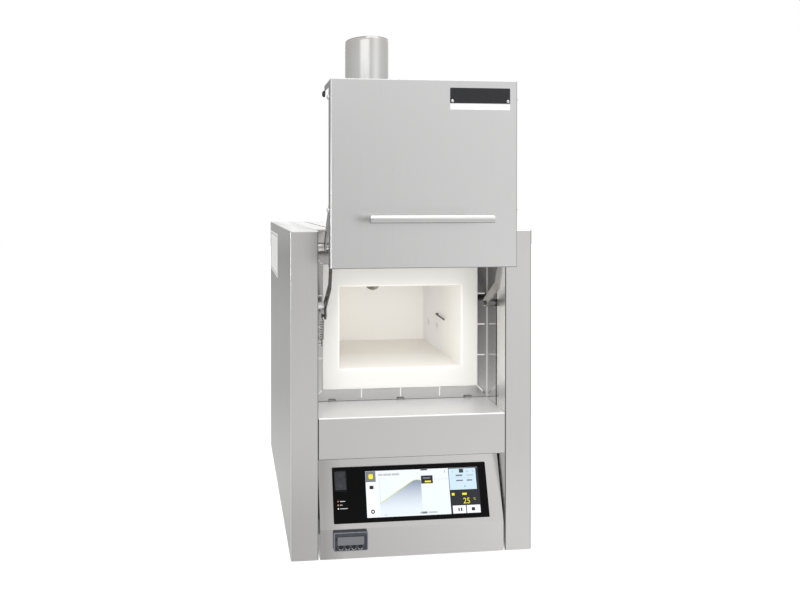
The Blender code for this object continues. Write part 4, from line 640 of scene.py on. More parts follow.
FINISH_NODES: Tuple[Tuple[Finish, str], ...] = (
    (COLUMN_SHEET, "side_cover_left side_cover_right"),
    (TOP_SHEET, "top_cover"),
    (STEEL_Z, "rear_cover"),
    (COVER_SHEET, "front_cover"),
    (HOUSING_SHEET, "control_housing"),
    (PIPE_STEEL, "chimney_pipe"),
    (STEEL_X, "chimney_flange"),
    (DOOR_STEEL, "door_shell"),
    (POLISHED, "door_handle exhaust_tube pivot_lower_left pivot_lower_right pivot_upper_left "
               "pivot_upper_right spring_anchor"),
    (LEVER_PAINTED_SHADE, "lever_left"),
    (LEVER_STEEL, "lever_right link_left link_right"),
    (BRIGHT_SHEET, "recess_frame"),
    (DARK_WIRE, "lift_spring"),
    (HOT_WIRE, "thermocouple"),
    (ZINC, "base_tray furnace_cradle door_retainer door_bracket_left door_bracket_right"),
    (FIBRE, "chamber_collar collar_backing insulation_floor insulation_roof insulation_left "
            "insulation_right insulation_rear door_insulation"),
    (HOT_CERAMIC, "heating_plate_left chamber_floor_plate"),
    (HOT_CERAMIC_RIGHT, "heating_plate_right"),
    (GLOSS_BLACK, "panel_glass"),
    (SHOW_WHITE, "touch_screen"),
    (LIGHT_TIP, "light_guide"),
    (ROCKER_PLASTIC, "switch_rocker"),
    (DARK_PLASTIC, "switch_body controller_box power_inlet limiter_key_1 limiter_key_2 limiter_key_3 "
                   "limiter_key_4 solid_state_relay terminal_block"),
    (SLATE_PLASTIC, "limiter_body"),
    (SMOKED, "limiter_window"),
    (RUBBER, "foot_front_left foot_front_right foot_rear_left foot_rear_right"),
)
NODE_FINISHES: Dict[str, Finish] = {
    node: finish for finish, nodes in FINISH_NODES for node in nodes.split()}


def facing(origin: Point, outward: Point, upward: Point = (0, 0, 1)) -> Matrix:
    """A frame on a surface: x to its right as seen from outside, y up, z outward.

    Args:
        origin: The frame's origin.
        outward: The surface's normal.
        upward: The direction that is up on the surface.

    Returns:
        The matrix from the surface's frame to the model's.
    """
    out = Vector(outward).normalized()
    up = Vector(upward)
    up = (up - out * up.dot(out)).normalized()
    return Matrix.Translation(origin) @ Matrix((up.cross(out), up, out)).transposed().to_4x4()


def rounded_rectangle(low: Point, high: Point, radius: float, steps: int = 6) -> List[Vector]:
    """The outline of a rectangle with round corners, anticlockwise.

    Args:
        low: Its lower left corner.
        high: Its upper right corner.
        radius: The corners' radius.
        steps: Points to each corner's arc, less one.

    Returns:
        The outline's points.
    """
    corners = ((high[0], high[1], 0), (low[0], high[1], 1), (low[0], low[1], 2), (high[0], low[1], 3))
    points = []
    for x, y, quarter in corners:
        centre = Vector((x, y)) - Vector((1 if quarter in (0, 3) else -1, 1 if quarter < 2 else -1)) * radius
        for step in range(steps + 1):
            angle = math.pi / 2 * (quarter + step / steps)
            points.append(centre + Vector((math.cos(angle), math.sin(angle))) * radius)
    return points


def circle(centre: Point, radius: float, steps: int = 32) -> List[Vector]:
    """The outline of a circle."""
    turns = [FULL_TURN * step / steps for step in range(steps)]
    return [Vector(centre) + Vector((math.cos(turn), math.sin(turn))) * radius for turn in turns]


def crescent(centre: Point, radius: float, width: float, start: float, end: float,
             steps: int = 14) -> List[Vector]:
    """The outline of a crescent that is widest at its middle.

    Args:
        centre: The middle of its arc.
        radius: Its inner radius.
        width: How wide it is at its middle.
        start: Where it starts, in radians.
        end: Where it ends, in radians.
        steps: Points along each edge, less one.

    Returns:
        The outline's points.
    """
    middle = Vector(centre)
    outer, inner = [], []
    for step in range(steps + 1):
        share = step / steps
        angle = start + (end - start) * share
        way = Vector((math.cos(angle), math.sin(angle)))
        outer.append(middle + way * (radius + width * (0.15 + 0.85 * math.sin(math.pi * share))))
        inner.append(middle + way * radius)
    return outer + inner[::-1]


def placed(name: str, data: Any) -> bpy.types.Object:
    """A new object put into the scene, with its mesh, curve, camera or light."""
    made = bpy.data.objects.new(name, data)
    bpy.context.scene.collection.objects.link(made)
    return made


class Shape:
    """A mesh under construction, drawn in a frame of its own."""

    def __init__(self, frame: Optional[Matrix] = None) -> None:
        """Starts an empty mesh.

        Args:
            frame: The matrix from the drawing's frame to the model's.
        """
        self.mesh = bmesh.new()
        self.frame = frame if frame is not None else Matrix.Identity(4)

    def vertex(self, place: Point) -> bmesh.types.BMVert:
        """Adds a point given in the drawing's frame."""
        return self.mesh.verts.new(self.frame @ Vector(place))

    def skin(self, rows: Sequence[Sequence[bmesh.types.BMVert]]) -> None:
        """Joins each closed row of points to the next with a band of faces."""
        for row, after in zip(rows, rows[1:]):
            for one in range(len(row)):
                other = (one + 1) % len(row)
                self.mesh.faces.new((row[one], row[other], after[other], after[one]))

    def slab(self, outline: Sequence[Vector], low: float, high: float, edge: float = 0.0,
             steps: int = 2) -> "Shape":
        """Adds an outline pulled outward, with its outer rim rounded.

        Args:
            outline: The outline, anticlockwise as seen from outside.
            low: The height of its back.
            high: The height of its face.
            edge: The rim's radius.
            steps: Segments of the rim's rounding.

        Returns:
            This shape.
        """
        known = set(self.mesh.faces)
        back = [self.vertex((point[0], point[1], low)) for point in outline]
        front = [self.vertex((point[0], point[1], high)) for point in outline]
        rear = self.mesh.faces.new(back[::-1])
        face = self.mesh.faces.new(front)
        self.skin([back, front])
        if edge:
            bmesh.ops.bevel(self.mesh, geom=list(face.edges), offset=edge, segments=steps, profile=0.5,
                            affect="EDGES")
            made = [one for one in self.mesh.faces if one not in known and one is not rear]
            widest = max(made, key=lambda one: one.calc_area())
            bmesh.ops.inset_region(self.mesh, faces=[widest], thickness=edge * 0.4, use_even_offset=True)
        return self

    def ring(self, outer: Sequence[Vector], inner: Sequence[Vector], low: float, high: float,
             edge: float = 0.0) -> "Shape":
        """Adds a flat ring between two outlines with as many points each.

        Args:
            outer: The outer outline.
            inner: The inner outline.
            low: The height of its back.
            high: The height of its face.
            edge: How far its rims slope in, and how high that slope is.

        Returns:
            This shape.
        """
        rims = [(outer, low), (outer, high - edge), (self.drawn_in(outer, inner, edge), high)]
        rims += [(self.drawn_in(inner, outer, edge), high), (inner, high - edge), (inner, low)]
        rows = [[self.vertex((point[0], point[1], height)) for point in rim] for rim, height in rims]
        self.skin(rows + rows[:1])
        return self

    @staticmethod
    def drawn_in(line: Sequence[Vector], towards: Sequence[Vector], distance: float) -> List[Vector]:
        """Moves each point of an outline towards its fellow by a distance."""
        pairs = zip(line, towards)
        return [Vector(one) + (Vector(other) - Vector(one)).normalized() * distance for one, other in pairs]

    def lathe(self, profile: Sequence[Tuple], steps: int = 64, closed: bool = False) -> "Shape":
        """Adds a turned shape round the drawing's z axis.

        Args:
            profile: Radius and height of each ring, with HEXAGON after them for a six-sided one.
            steps: Points round each ring.
            closed: Whether the last ring joins the first, as in a tube.

        Returns:
            This shape.
        """
        rings = []
        for radius, height, *kind in profile:
            sides = kind[0].value if kind else 0
            ring = []
            for step in range(steps if radius > 0 else 1):
                angle = FULL_TURN * step / steps
                reach = radius
                if sides:
                    sector = FULL_TURN / sides
                    reach = radius / math.cos((angle % sector) - sector / 2)
                ring.append(self.vertex((reach * math.cos(angle), reach * math.sin(angle), height)))
            rings.append(ring)
        for lower, upper in zip(rings, rings[1:] + (rings[:1] if closed else [])):
            for step in range(steps):
                after = (step + 1) % steps
                corners = [lower[step % len(lower)], lower[after % len(lower)]]
                corners += [upper[after % len(upper)], upper[step % len(upper)]]
                self.mesh.faces.new(list(dict.fromkeys(corners)))
        return self

    def sweep(self, points: Sequence[Vector], radius: float, sides: int = 12) -> "Shape":
        """Adds a round wire along points.

        Args:
            points: The wire's centre line.
            radius: The wire's radius.
            sides: Points round the wire.

        Returns:
            This shape.
        """
        places = [Vector(point) for point in points]
        across = (places[1] - places[0]).orthogonal().normalized()
        rings = []
        for index, place in enumerate(places):
            before, after = places[max(index - 1, 0)], places[min(index + 1, len(places) - 1)]
            way = (after - before).normalized()
            across = (across - way * across.dot(way)).normalized()
            other = way.cross(across)
            turns = [FULL_TURN * step / sides for step in range(sides)]
            rings.append([self.vertex(place + (across * math.cos(turn) + other * math.sin(turn)) * radius)
                          for turn in turns])
        self.skin(rings)
        self.mesh.faces.new(rings[0][::-1])
        self.mesh.faces.new(rings[-1])
        return self

    def piece(self, name: str, finish: Finish, body: Optional[Body], slot: Slot,
              replaces: Sequence[str] = ()) -> bpy.types.Object:
        """Ends the mesh and makes it a piece of the furnace.

        Args:
            name: The piece's name.
            finish: Its finish.
            body: The body it rides on, or None for a piece that rides on none.
            slot: The record's slot for its finish; not used.
            replaces: The CAD nodes it stands for.

        Returns:
            The piece.
        """
        bmesh.ops.recalc_face_normals(self.mesh, faces=self.mesh.faces)
        data = bpy.data.meshes.new(name)
        self.mesh.to_mesh(data)
        self.mesh.free()
        data.shade_smooth()
        data.set_sharp_from_angle(angle=SMOOTH_ANGLE)
        data.materials.append(finish.material())
        made = placed(name, data)
        if body:
            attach(made, body.value)
        if replaces:
            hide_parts(*replaces)
        LOG.info("made %s", name)
        return made


@dataclass
class CarriedNodes:
    """The CAD nodes that show as they are, each with its own finish."""

    finishes: Dict[str, Finish] = field(default_factory=lambda: dict(NODE_FINISHES))

    def dress(self, nodes: Dict[str, bpy.types.Object]) -> None:
        """Gives each node its material.

        Args:
            nodes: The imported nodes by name.
        """
        for name, finish in self.finishes.items():
            data = nodes[name].data
            data.materials.clear()
            data.materials.append(finish.material())
        LOG.info("dressed %d nodes", len(self.finishes))


@dataclass
class SocketScrew:
    """A button-head screw with a six-sided socket."""

    radius: float = 0.0034
    height: float = 0.0018
    socket: float = 0.0012
    depth: float = 0.0009
    finish: Finish = POLISHED

    def build(self, name: str, frame: Matrix, body: Body) -> bpy.types.Object:
        """Makes the screw's head on a surface.

        Args:
            name: The piece's name.
            frame: The surface's frame, with its origin under the head.
            body: The body it rides on.

        Returns:
            The piece.
        """
        profile = [(0, 0), (self.radius * 0.96, 0), (self.radius, self.height * 0.22)]
        for step in range(1, 7):
            angle = math.pi / 2 * step / 7
            profile.append((self.radius * (0.45 + 0.55 * math.cos(angle)),
                            self.height * (0.22 + 0.78 * math.sin(angle))))
        profile += [(self.socket * 1.25, self.height), (self.socket, self.height - 0.0001, Socketed.HEXAGON)]
        profile += [(self.socket, self.height - self.depth, Socketed.HEXAGON), (0, self.height - self.depth)]
        return Shape(frame).lathe(profile, 48).piece(name, self.finish, body, Slot.TURNED)


@dataclass
class Chimney:
    """The exhaust pipe with its rolled rim and welded seam, and the flange's screws."""

    wall: float = 0.0012
    rim: float = 0.0005
    seam_turn: float = math.radians(65)
    seam_radius: float = 0.0007
    screw_circle: float = 0.0545
    screws: int = 4

    def build(self) -> None:
        """Replaces the pipe and sets the screws."""
        low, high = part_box("chimney_pipe")
        centre = (low + high) / 2
        outer = (high.x - low.x) / 2
        bore, rim, top, bottom = outer - self.wall, self.rim, high.z, low.z
        profile = [(bore, bottom), (outer - rim, bottom), (outer, bottom + rim), (outer, top - 0.009),
                   (outer, top - rim), (outer - rim * 0.3, top - rim * 0.3), (outer - rim, top),
                   (bore + 0.0002, top), (bore, top - 0.0002)]
        shape = Shape(Matrix.Translation((centre.x, centre.y, 0)))
        shape.lathe(profile, 160, closed=True)
        shape.piece("exhaust_pipe", PIPE_STEEL, Body.CASING, Slot.SHEET, ("chimney_pipe",))
        reach = outer - self.seam_radius * 0.75
        way = Vector((math.cos(self.seam_turn), math.sin(self.seam_turn), 0)) * reach
        middle = Vector((centre.x, centre.y, 0)) + way
        seam = [middle + Vector((0, 0, bottom + 0.0006)), middle + Vector((0, 0, top - 0.0006))]
        Shape().sweep(seam, self.seam_radius, 10).piece("pipe_seam", PIPE_STEEL, Body.CASING, Slot.SHEET)
        flange_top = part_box("chimney_flange")[0].z + 0.002
        for number in range(self.screws):
            turn = FULL_TURN * (number + 0.5) / self.screws
            reach = self.screw_circle
            place = (centre.x + reach * math.cos(turn), centre.y + reach * math.sin(turn), flange_top)
            frame = facing(place, (0, 0, 1), (0, 1, 0))
            SocketScrew().build(f"flange_screw_{number + 1}", frame, Body.CASING)


@dataclass
class DoorFront:
    """What the door's sheet carries: a bare plate with its rivets, and the screws of both flanges."""

    plate_x: Tuple[float, float] = (0.0375, 0.1285)
    plate_z: Tuple[float, float] = (0.7005, 0.7230)
    foil_z: Tuple[float, float] = (0.6910, 0.6998)
    plate_thickness: float = 0.0006
    foil_thickness: float = 0.00012
    rivet_radius: float = 0.0022
    rivet_inset: Tuple[float, float] = (0.0032, 0.0032)
    screw_y: float = -0.209
    screw_heights: Tuple[float, ...] = (0.5435, 0.7080)
    screw_proud: float = 0.0042
    ear_bolt: Tuple[float, float] = (-0.1690, 0.7205)
    ear_bolt_radius: float = 0.0050

    def build(self) -> None:
        """Makes the plate, its rivets, and the screws and the dark bolt of each flange."""
        low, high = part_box("door_shell")
        front = facing((0, low.y, 0), (0, -1, 0))
        (left, right), (bottom, top) = self.plate_x, self.plate_z
        outline = rounded_rectangle((left, bottom), (right, top), 0.0008)
        Shape(front).slab(outline, 0, self.plate_thickness, 0.0002).piece(
            "door_plate", ENAMEL, Body.DOOR, Slot.BLACK)
        outline = rounded_rectangle((left, self.foil_z[0]), (right, self.foil_z[1]), 0.0006)
        Shape(front).slab(outline, 0, self.foil_thickness).piece(
            "door_plate_foil", PALE_FOIL, Body.DOOR, Slot.BRIGHT)
        reach = self.rivet_radius
        dome = [(0, 0), (reach, 0), (reach, 0.0002), (reach * 0.8, 0.0006), (reach * 0.4, 0.0009), (0, 0.001)]
        inset_x, inset_z = self.rivet_inset
        for side, x in (("left", left + inset_x), ("right", right - inset_x)):
            place = (x, low.y - self.plate_thickness, bottom + inset_z)
            Shape(facing(place, (0, -1, 0))).lathe(dome, 32).piece(
                f"plate_rivet_{side}", POLISHED, Body.DOOR, Slot.TURNED)
        for side, x, outward in (("left", low.x, -1), ("right", high.x, 1)):
            for number, z in enumerate(self.screw_heights, start=1):
                frame = facing((x, self.screw_y, z), (outward, 0, 0))
                SocketScrew(height=self.screw_proud).build(f"door_screw_{side}_{number}", frame, Body.DOOR)
            frame = facing((x, *self.ear_bolt), (outward, 0, 0))
            SocketScrew(self.ear_bolt_radius, self.screw_proud, finish=BOLT_BLACK).build(
                f"door_ear_bolt_{side}", frame, Body.DOOR)


@dataclass
class DoorHandle:
    """The round bar handle on two posts."""

    bar_radius: float = 0.006
    chamfer: float = 0.0007
    dimple: float = 0.0012
    post_radius: float = 0.0042
    collar_radius: float = 0.0050
    collar_height: float = 0.0016
    post_x: float = 0.070

    def build(self) -> None:
        """Replaces the handle with a bar and two posts."""
        low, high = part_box("door_handle")
        middle = (low + high) / 2
        axis_y = low.y + self.bar_radius
        half = (high.x - low.x) / 2
        radius, cut = self.bar_radius, self.chamfer
        end = [(0, -half + 0.0004), (self.dimple, -half), (radius - cut, -half),
               (radius - cut * 0.3, -half + cut * 0.3), (radius, -half + cut)]
        body = [(radius, -half + 0.004), (radius, half - 0.004)]
        profile = end + body + [(reach, -height) for reach, height in reversed(end)]
        frame = facing((middle.x, axis_y, middle.z), (1, 0, 0))
        Shape(frame).lathe(profile, 96).piece(
            "handle_bar", HANDLE_STEEL, Body.DOOR, Slot.TURNED, ("door_handle",))
        door_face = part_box("door_shell")[0].y
        length = door_face - axis_y
        reach, collar, tall = self.post_radius, self.collar_radius, self.collar_height
        profile = [(0, 0), (collar, 0), (collar, tall * 0.4), (collar - 0.0004, tall * 0.7),
                   (reach + 0.0004, tall), (reach, tall + 0.0004), (reach, length * 0.6),
                   (reach, length - 0.002), (0, length - 0.002)]
        for side, sign in (("left", -1), ("right", 1)):
            frame = facing((middle.x + sign * self.post_x, door_face, middle.z), (0, -1, 0))
            Shape(frame).lathe(profile, 48).piece(
                f"handle_post_{side}", HANDLE_STEEL, Body.DOOR, Slot.TURNED)


@dataclass
class FibreCollar:
    """The fibre collar round the chamber's mouth, with worn edges."""

    mouth_low: Point = (-0.104, 0.2785)
    mouth_high: Point = (0.104, 0.4145)
    outer_round: float = 0.0012
    mouth_round: float = 0.0024
    cuts: int = 13
    roughness: float = 0.00022
    crumble: float = 0.0007

    def build(self) -> None:
        """Replaces the collar's node."""
        low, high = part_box("chamber_collar")
        outer = [(low.x, low.z), (high.x, low.z), (high.x, high.z), (low.x, high.z)]
        inner = [(self.mouth_low[0], self.mouth_low[1]), (self.mouth_high[0], self.mouth_low[1]),
                 (self.mouth_high[0], self.mouth_high[1]), (self.mouth_low[0], self.mouth_high[1])]
        shape = Shape()
        rows = [[shape.vertex((x, y, z)) for x, z in ring] for ring, y in
                ((outer, low.y), (inner, low.y), (inner, high.y), (outer, high.y))]
        shape.skin(rows + rows[:1])

        def rims(ring: List[bmesh.types.BMVert]) -> List[bmesh.types.BMEdge]:
            """The edges that run round one ring."""
            return [edge for edge in shape.mesh.edges if all(vertex in ring for vertex in edge.verts)]

        front_mouth, front_outer = rims(rows[1]), rims(rows[0])
        bmesh.ops.bevel(shape.mesh, geom=front_outer, offset=self.outer_round, segments=2, profile=0.5,
                        affect="EDGES")
        front_mouth = [edge for edge in front_mouth if edge.is_valid]
        bmesh.ops.bevel(shape.mesh, geom=front_mouth, offset=self.mouth_round, segments=3, profile=0.5,
                        affect="EDGES")
        bmesh.ops.subdivide_edges(shape.mesh, edges=list(shape.mesh.edges), cuts=self.cuts,
                                  use_grid_fill=True)
        shape.mesh.normal_update()
        moves = []
        for vertex in shape.mesh.verts:
            if vertex.co.y > low.y + 0.02:
                continue
            grain = abs(noise.noise(vertex.co * 420.0)) * self.roughness
            lump = max(0.0, noise.noise(vertex.co * 130.0)) * self.roughness
            worn = self.crumble if self.near_mouth(vertex.co, low.y) else 0.0
            chip = max(0.0, noise.noise(vertex.co * 210.0) - 0.25) * worn
            moves.append((vertex, -vertex.normal * (grain + lump + chip)))
        for vertex, move in moves:
            vertex.co += move
        shape.piece("mouth_collar", FIBRE, Body.CASING, Slot.FIBRE, ("chamber_collar",))

    def near_mouth(self, place: Vector, front: float) -> bool:
        """Whether a point lies on the rounded rim of the mouth."""
        margin = self.mouth_round * 1.2
        inside_x = self.mouth_low[0] - margin < place.x < self.mouth_high[0] + margin
        inside_z = self.mouth_low[1] - margin < place.z < self.mouth_high[1] + margin
        return inside_x and inside_z and place.y < front + margin


@dataclass
class SlotFibre:
    """Fibre from the board behind, pressed into the slots round the collar."""

    half_x: float = 0.1330
    z: Tuple[float, float] = (0.2438, 0.4528)
    back_y: float = -0.0982
    thickness: float = 0.0017
    half_width: float = 0.0010
    reach: float = 0.0149
    side_reach: float = 0.0127
    corner_reach: float = 0.0085
    pitch_x: float = 0.0670
    pitch_z: float = 0.0520

    def strip(self, shape: Shape, low: Point, high: Point) -> None:
        """Adds the fibre of one straight slot."""
        shape.slab(rounded_rectangle(low, high, self.half_width * 0.5, 2), 0, self.thickness)

    def build(self) -> None:
        """Makes the fibre of every slot as one piece."""
        shape = Shape(facing((0, self.back_y, 0), (0, -1, 0)))
        low, high = self.z
        half = self.half_width
        for step in (-1, 0, 1):
            x, z = self.pitch_x * step, (low + high) / 2 + self.pitch_z * step
            self.strip(shape, (x - half, low - self.reach), (x + half, low))
            self.strip(shape, (x - half, high), (x + half, high + self.reach))
            for side in (-1, 1):
                left, right = sorted((side * self.half_x, side * (self.half_x + self.side_reach)))
                self.strip(shape, (left, z - half), (right, z + half))
        for side in (-1, 1):
            for edge, way in ((low, -1), (high, 1)):
                corner = Vector((side * self.half_x, edge))
                out = Vector((side, way))
                across = Vector((side, -way)).normalized() * half
                outline = [corner + across, corner - across, corner + out * self.corner_reach - across,
                           corner + out * self.corner_reach + across]
                if side * way < 0:
                    outline.reverse()
                shape.slab(outline, 0, self.thickness)
        shape.piece("slot_fibre", FIBRE, Body.CASING, Slot.FIBRE)


@dataclass
class PivotPins:
    """The four shouldered pins in the recess walls, with socket heads."""

    wall_x: float = 0.1492
    shoulder_end: float = 0.1348
    head_start: float = 0.1312
    head_end: float = 0.1274
    shoulder_radius: float = 0.006
    shank_radius: float = 0.003
    head_radius: float = 0.0036
    socket: float = 0.0016
    fillet: float = 0.0004
    y: float = -0.128
    heights: Tuple[Tuple[str, float], ...] = (("lower", 0.3895), ("upper", 0.4825))

    def build(self) -> None:
        """Replaces the four pins."""
        wall, shoulder, head, end = (self.wall_x - place for place in
                                     (self.wall_x, self.shoulder_end, self.head_start, self.head_end))
        wide, shank, top, fillet = self.shoulder_radius, self.shank_radius, self.head_radius, self.fillet
        profile = [(0, wall), (wide, wall), (wide, shoulder - 0.0034), (wide - fillet, shoulder - 0.003),
                   (wide - fillet, shoulder - 0.0022), (wide, shoulder - 0.0018), (wide, shoulder - fillet),
                   (wide - fillet, shoulder), (shank, shoulder), (shank, head), (top, head),
                   (top, end - fillet), (top - fillet, end), (self.socket * 1.2, end),
                   (self.socket, end - 0.0001, Socketed.HEXAGON),
                   (self.socket, end - 0.0016, Socketed.HEXAGON), (0, end - 0.0016)]
        for level, z in self.heights:
            # Left pins get the painted-highlight steel, right pins the painted-shade steel.
            for side, sign, finish in (("left", -1, PIN_STEEL), ("right", 1, PIN_PAINTED_SHADE)):
                frame = facing((sign * self.wall_x, self.y, z), (-sign, 0, 0))
                Shape(frame).lathe(profile, 48).piece(
                    f"pivot_pin_{level}_{side}", finish, Body.CASING, Slot.TURNED, (f"pivot_{level}_{side}",))


@dataclass
class LiftSpring:
    """The tension spring, wound as one wire, with its upper hook at the left lever."""

    hook_place: Point = (-0.1371, -0.128, 0.3730)
    lean: float = 0.008
    wire: float = 0.0006
    radius: float = 0.0026
    pitch: float = 0.0042
    turns: float = 8.0
    stud_radius: float = 0.0015
    lever_half: float = 0.0063
    points_per_turn: int = 24
    hook_points: int = 20

    def path(self) -> List[Vector]:
        """The centre line: hook, coil and hook."""
        reach = self.lever_half + 0.0012
        length = self.pitch * self.turns + 2 * reach
        top = Vector(self.hook_place)
        bottom = top + Vector((0, self.lean, -math.sqrt(length**2 - self.lean**2)))
        down = (bottom - top).normalized()
        across, sideways = Vector((0, -down.z, down.y)), Vector((1, 0, 0))
        hook = self.stud_radius + 0.0003 + self.wire
        span = math.pi + math.radians(50)

        def arc(centre: Vector, angle: float) -> Vector:
            """A point of a hook."""
            return centre + across * (hook * math.cos(angle)) - down * (hook * math.sin(angle))

        steps = self.hook_points
        upper = [arc(top, span * (1 - step / steps)) for step in range(steps + 1)]
        coil = []
        for step in range(round(self.turns * self.points_per_turn) + 1):
            share = step / self.points_per_turn
            angle = FULL_TURN * share
            radial = across * math.cos(angle) + sideways * math.sin(angle)
            coil.append(top + down * (reach + self.pitch * share) + radial * self.radius)
        lower = [arc(bottom, math.pi + span * step / steps) for step in range(steps + 1)]
        return upper + coil + lower

    def build(self) -> None:
        """Replaces the spring with a piece that rides on no body."""
        piece = Shape().sweep(self.path(), self.wire, 14).piece(
            "tension_spring", DARK_WIRE, None, Slot.SPRING, ("lift_spring",))
        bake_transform(piece)


@dataclass
class Panel:
    """The inclined panel's frame: across, up the slope and outward."""

    origin: Point = (0, -0.164, 0.0485)
    tilt: float = math.radians(76.97)
    glass: float = 0.0015

    def frame(self) -> Matrix:
        """The matrix from the panel's frame to the model's."""
        return Matrix.Translation(self.origin) @ Matrix.Rotation(self.tilt, 4, "X")


@dataclass
class Display(Panel):
    """What the touch screen shows: side bar, heating curve, value box, card and keys."""

    left: float = -0.0720
    right: float = 0.1113
    low: float = 0.0148
    high: float = 0.0817
    face: float = 0.0013
    layer: float = 0.00005

    def spot(self, share: Point) -> Vector:
        """A place on the screen from its shares across and up."""
        across, up = self.right - self.left, self.high - self.low
        return Vector((self.left + across * share[0], self.low + up * share[1]))

    def layered(self, shape: Shape, outline: Sequence[Vector], level: int) -> Shape:
        """Adds a flat area that stands some layers over the screen."""
        return shape.slab(outline, self.face, self.face + self.layer * level)

    def patch(self, shape: Shape, low: Point, high: Point, level: int) -> None:
        """Adds a rectangle of the picture.

        Args:
            shape: The shape it belongs to.
            low: Shares of its lower left corner.
            high: Shares of its upper right corner.
            level: How many layers it stands over the screen.
        """
        one, other = self.spot(low), self.spot(high)
        self.layered(shape, [one, Vector((other.x, one.y)), other, Vector((one.x, other.y))], level)

    def stroke(self, shape: Shape, points: Sequence[Point], width: float, level: int) -> None:
        """Adds a line of the picture as short quads."""
        places = [self.spot(point) for point in points]
        for one, other in zip(places, places[1:]):
            way = (other - one).normalized()
            side = Vector((-way.y, way.x)) * (width / 2)
            self.layered(shape, [one - side, other - side, other + side, one + side], level)

    def words(self, name: str, text: str, place: Point, height: float, finish: Finish,
              level: int) -> None:
        """Adds figures as flat letters.

        Args:
            name: The piece's name.
            text: The figures.
            place: Shares of the lower left corner.
            height: The letters' height in metres.
            finish: Their finish.
            level: How many layers they stand over the screen.
        """
        curve = bpy.data.curves.new(name, "FONT")
        curve.body = text
        curve.size = height * 1.38
        curve.extrude = self.layer
        drawn = placed(name + "_drawn", curve)
        bpy.context.view_layer.update()
        data = bpy.data.meshes.new_from_object(drawn)
        bpy.data.objects.remove(drawn)
        spot = self.spot(place)
        data.transform(self.frame() @ Matrix.Translation((spot.x, spot.y, self.face + self.layer * level)))
        data.materials.clear()
        data.materials.append(finish.material())
        made = placed(name, data)
        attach(made, Body.CASING.value)

    def curve(self) -> List[Point]:
        """The heating curve in shares: a steady rise and a soft bend at its top."""
        return [(0.116, 0.286), (0.385, 0.715), (0.41, 0.752), (0.43, 0.770), (0.45, 0.775), (0.47, 0.770),
                (0.486, 0.757)]

    def build(self) -> None:
        """Makes every area of the picture, one piece to each colour."""
        curve = self.curve()
        areas: List[Tuple[str, Finish, List[Tuple[Point, Point, int]]]] = [
            ("display_plot_area", SHOW_PLOT, [((0.088, 0.0), (0.735, 1.0), 1)]),
            ("display_card_area", SHOW_CARD, [((0.740, 0.520), (0.980, 0.985), 2)]),
            ("display_dark_area", SHOW_BLACK, [
                ((0.735, 0.0), (1.0, 1.0), 1), ((0.488, 0.685), (0.592, 0.860), 3),
                ((0.488, 0.975), (0.548, 1.0), 3), ((0.030, 0.61), (0.066, 0.685), 2),
                ((0.918, 0.055), (0.948, 0.125), 3), ((0.799, 0.050), (0.811, 0.125), 3),
                ((0.822, 0.050), (0.834, 0.125), 3)]),
            ("display_keys", SHOW_WHITE, [
                ((0.752, 0.005), (0.868, 0.175), 2), ((0.876, 0.005), (0.996, 0.175), 2)]),
            ("display_green_mark", SHOW_GREEN, [((0.832, 0.890), (0.870, 0.975), 3)]),
            ("display_grey_marks", SHOW_GREY, [
                ((0.0, 0.765), (0.088, 1.0), 1), ((0.800, 0.705), (0.862, 0.735), 3),
                ((0.800, 0.815), (0.860, 0.850), 3), ((0.895, 0.705), (0.945, 0.735), 3),
                ((0.868, 0.58), (0.882, 0.60), 3), ((0.505, 0.79), (0.570, 0.82), 4),
                ((0.465, 0.035), (0.525, 0.080), 2)]),
            ("display_pale_marks", SHOW_PALE_GREY, [
                ((0.112, 0.890), (0.150, 0.935), 2), ((0.156, 0.890), (0.228, 0.935), 2),
                ((0.233, 0.890), (0.298, 0.935), 2), ((0.120, 0.20), (0.1222, 0.84), 2),
                ((0.535, 0.040), (0.615, 0.075), 2), ((0.768, 0.900), (0.780, 0.935), 3),
                ((0.895, 0.900), (0.915, 0.930), 3), ((0.950, 0.900), (0.962, 0.930), 3),
                ((0.895, 0.815), (0.955, 0.845), 3), ((0.760, 0.775), (0.965, 0.781), 3),
                ((0.150, 0.025), (0.175, 0.065), 2), ((0.700, 0.905), (0.708, 0.965), 2),
                ((0.605, 0.765), (0.735, 0.770), 2)]),
            ("display_yellow_marks", SHOW_YELLOW, [
                ((0.752, 0.395), (0.776, 0.450), 3), ((0.845, 0.400), (0.885, 0.445), 3),
                ((0.520, 0.710), (0.575, 0.745), 4)]),
        ]
        for name, finish, patches in areas:
            shape = Shape(self.frame())
            for low, high, level in patches:
                self.patch(shape, low, high, level)
            shape.piece(name, finish, Body.CASING, Slot.SCREEN)
        fill = [self.spot(point) for point in [*curve, (0.486, 0.03), (0.116, 0.03)]]
        self.layered(Shape(self.frame()), fill[::-1], 2).piece(
            "display_curve_area", SHOW_FILL, Body.CASING, Slot.SCREEN)
        shape = Shape(self.frame())
        self.stroke(shape, curve, 0.0009, 3)
        shape.piece("display_curve_line", SHOW_LINE, Body.CASING, Slot.SCREEN)
        shape = Shape(self.frame())
        sun, cog = self.spot((0.046, 0.885)), self.spot((0.050, 0.125))
        half = Vector((0.0036, 0.0036))
        self.layered(shape, rounded_rectangle(sun - half, sun + half, 0.002), 2)
        shape.piece("display_sun_mark", SHOW_YELLOW, Body.CASING, Slot.SCREEN)
        shape = Shape(self.frame())
        shape.ring(circle(cog, 0.0031), circle(cog, 0.0014), self.face, self.face + self.layer * 2)
        shape.piece("display_ring_mark", SHOW_BLACK, Body.CASING, Slot.SCREEN)
        self.words("display_reading", "25", (0.848, 0.215), 0.0085, SHOW_YELLOW, 3)
        self.words("display_unit", "\u00b0C", (0.936, 0.285), 0.0030, SHOW_YELLOW, 3)


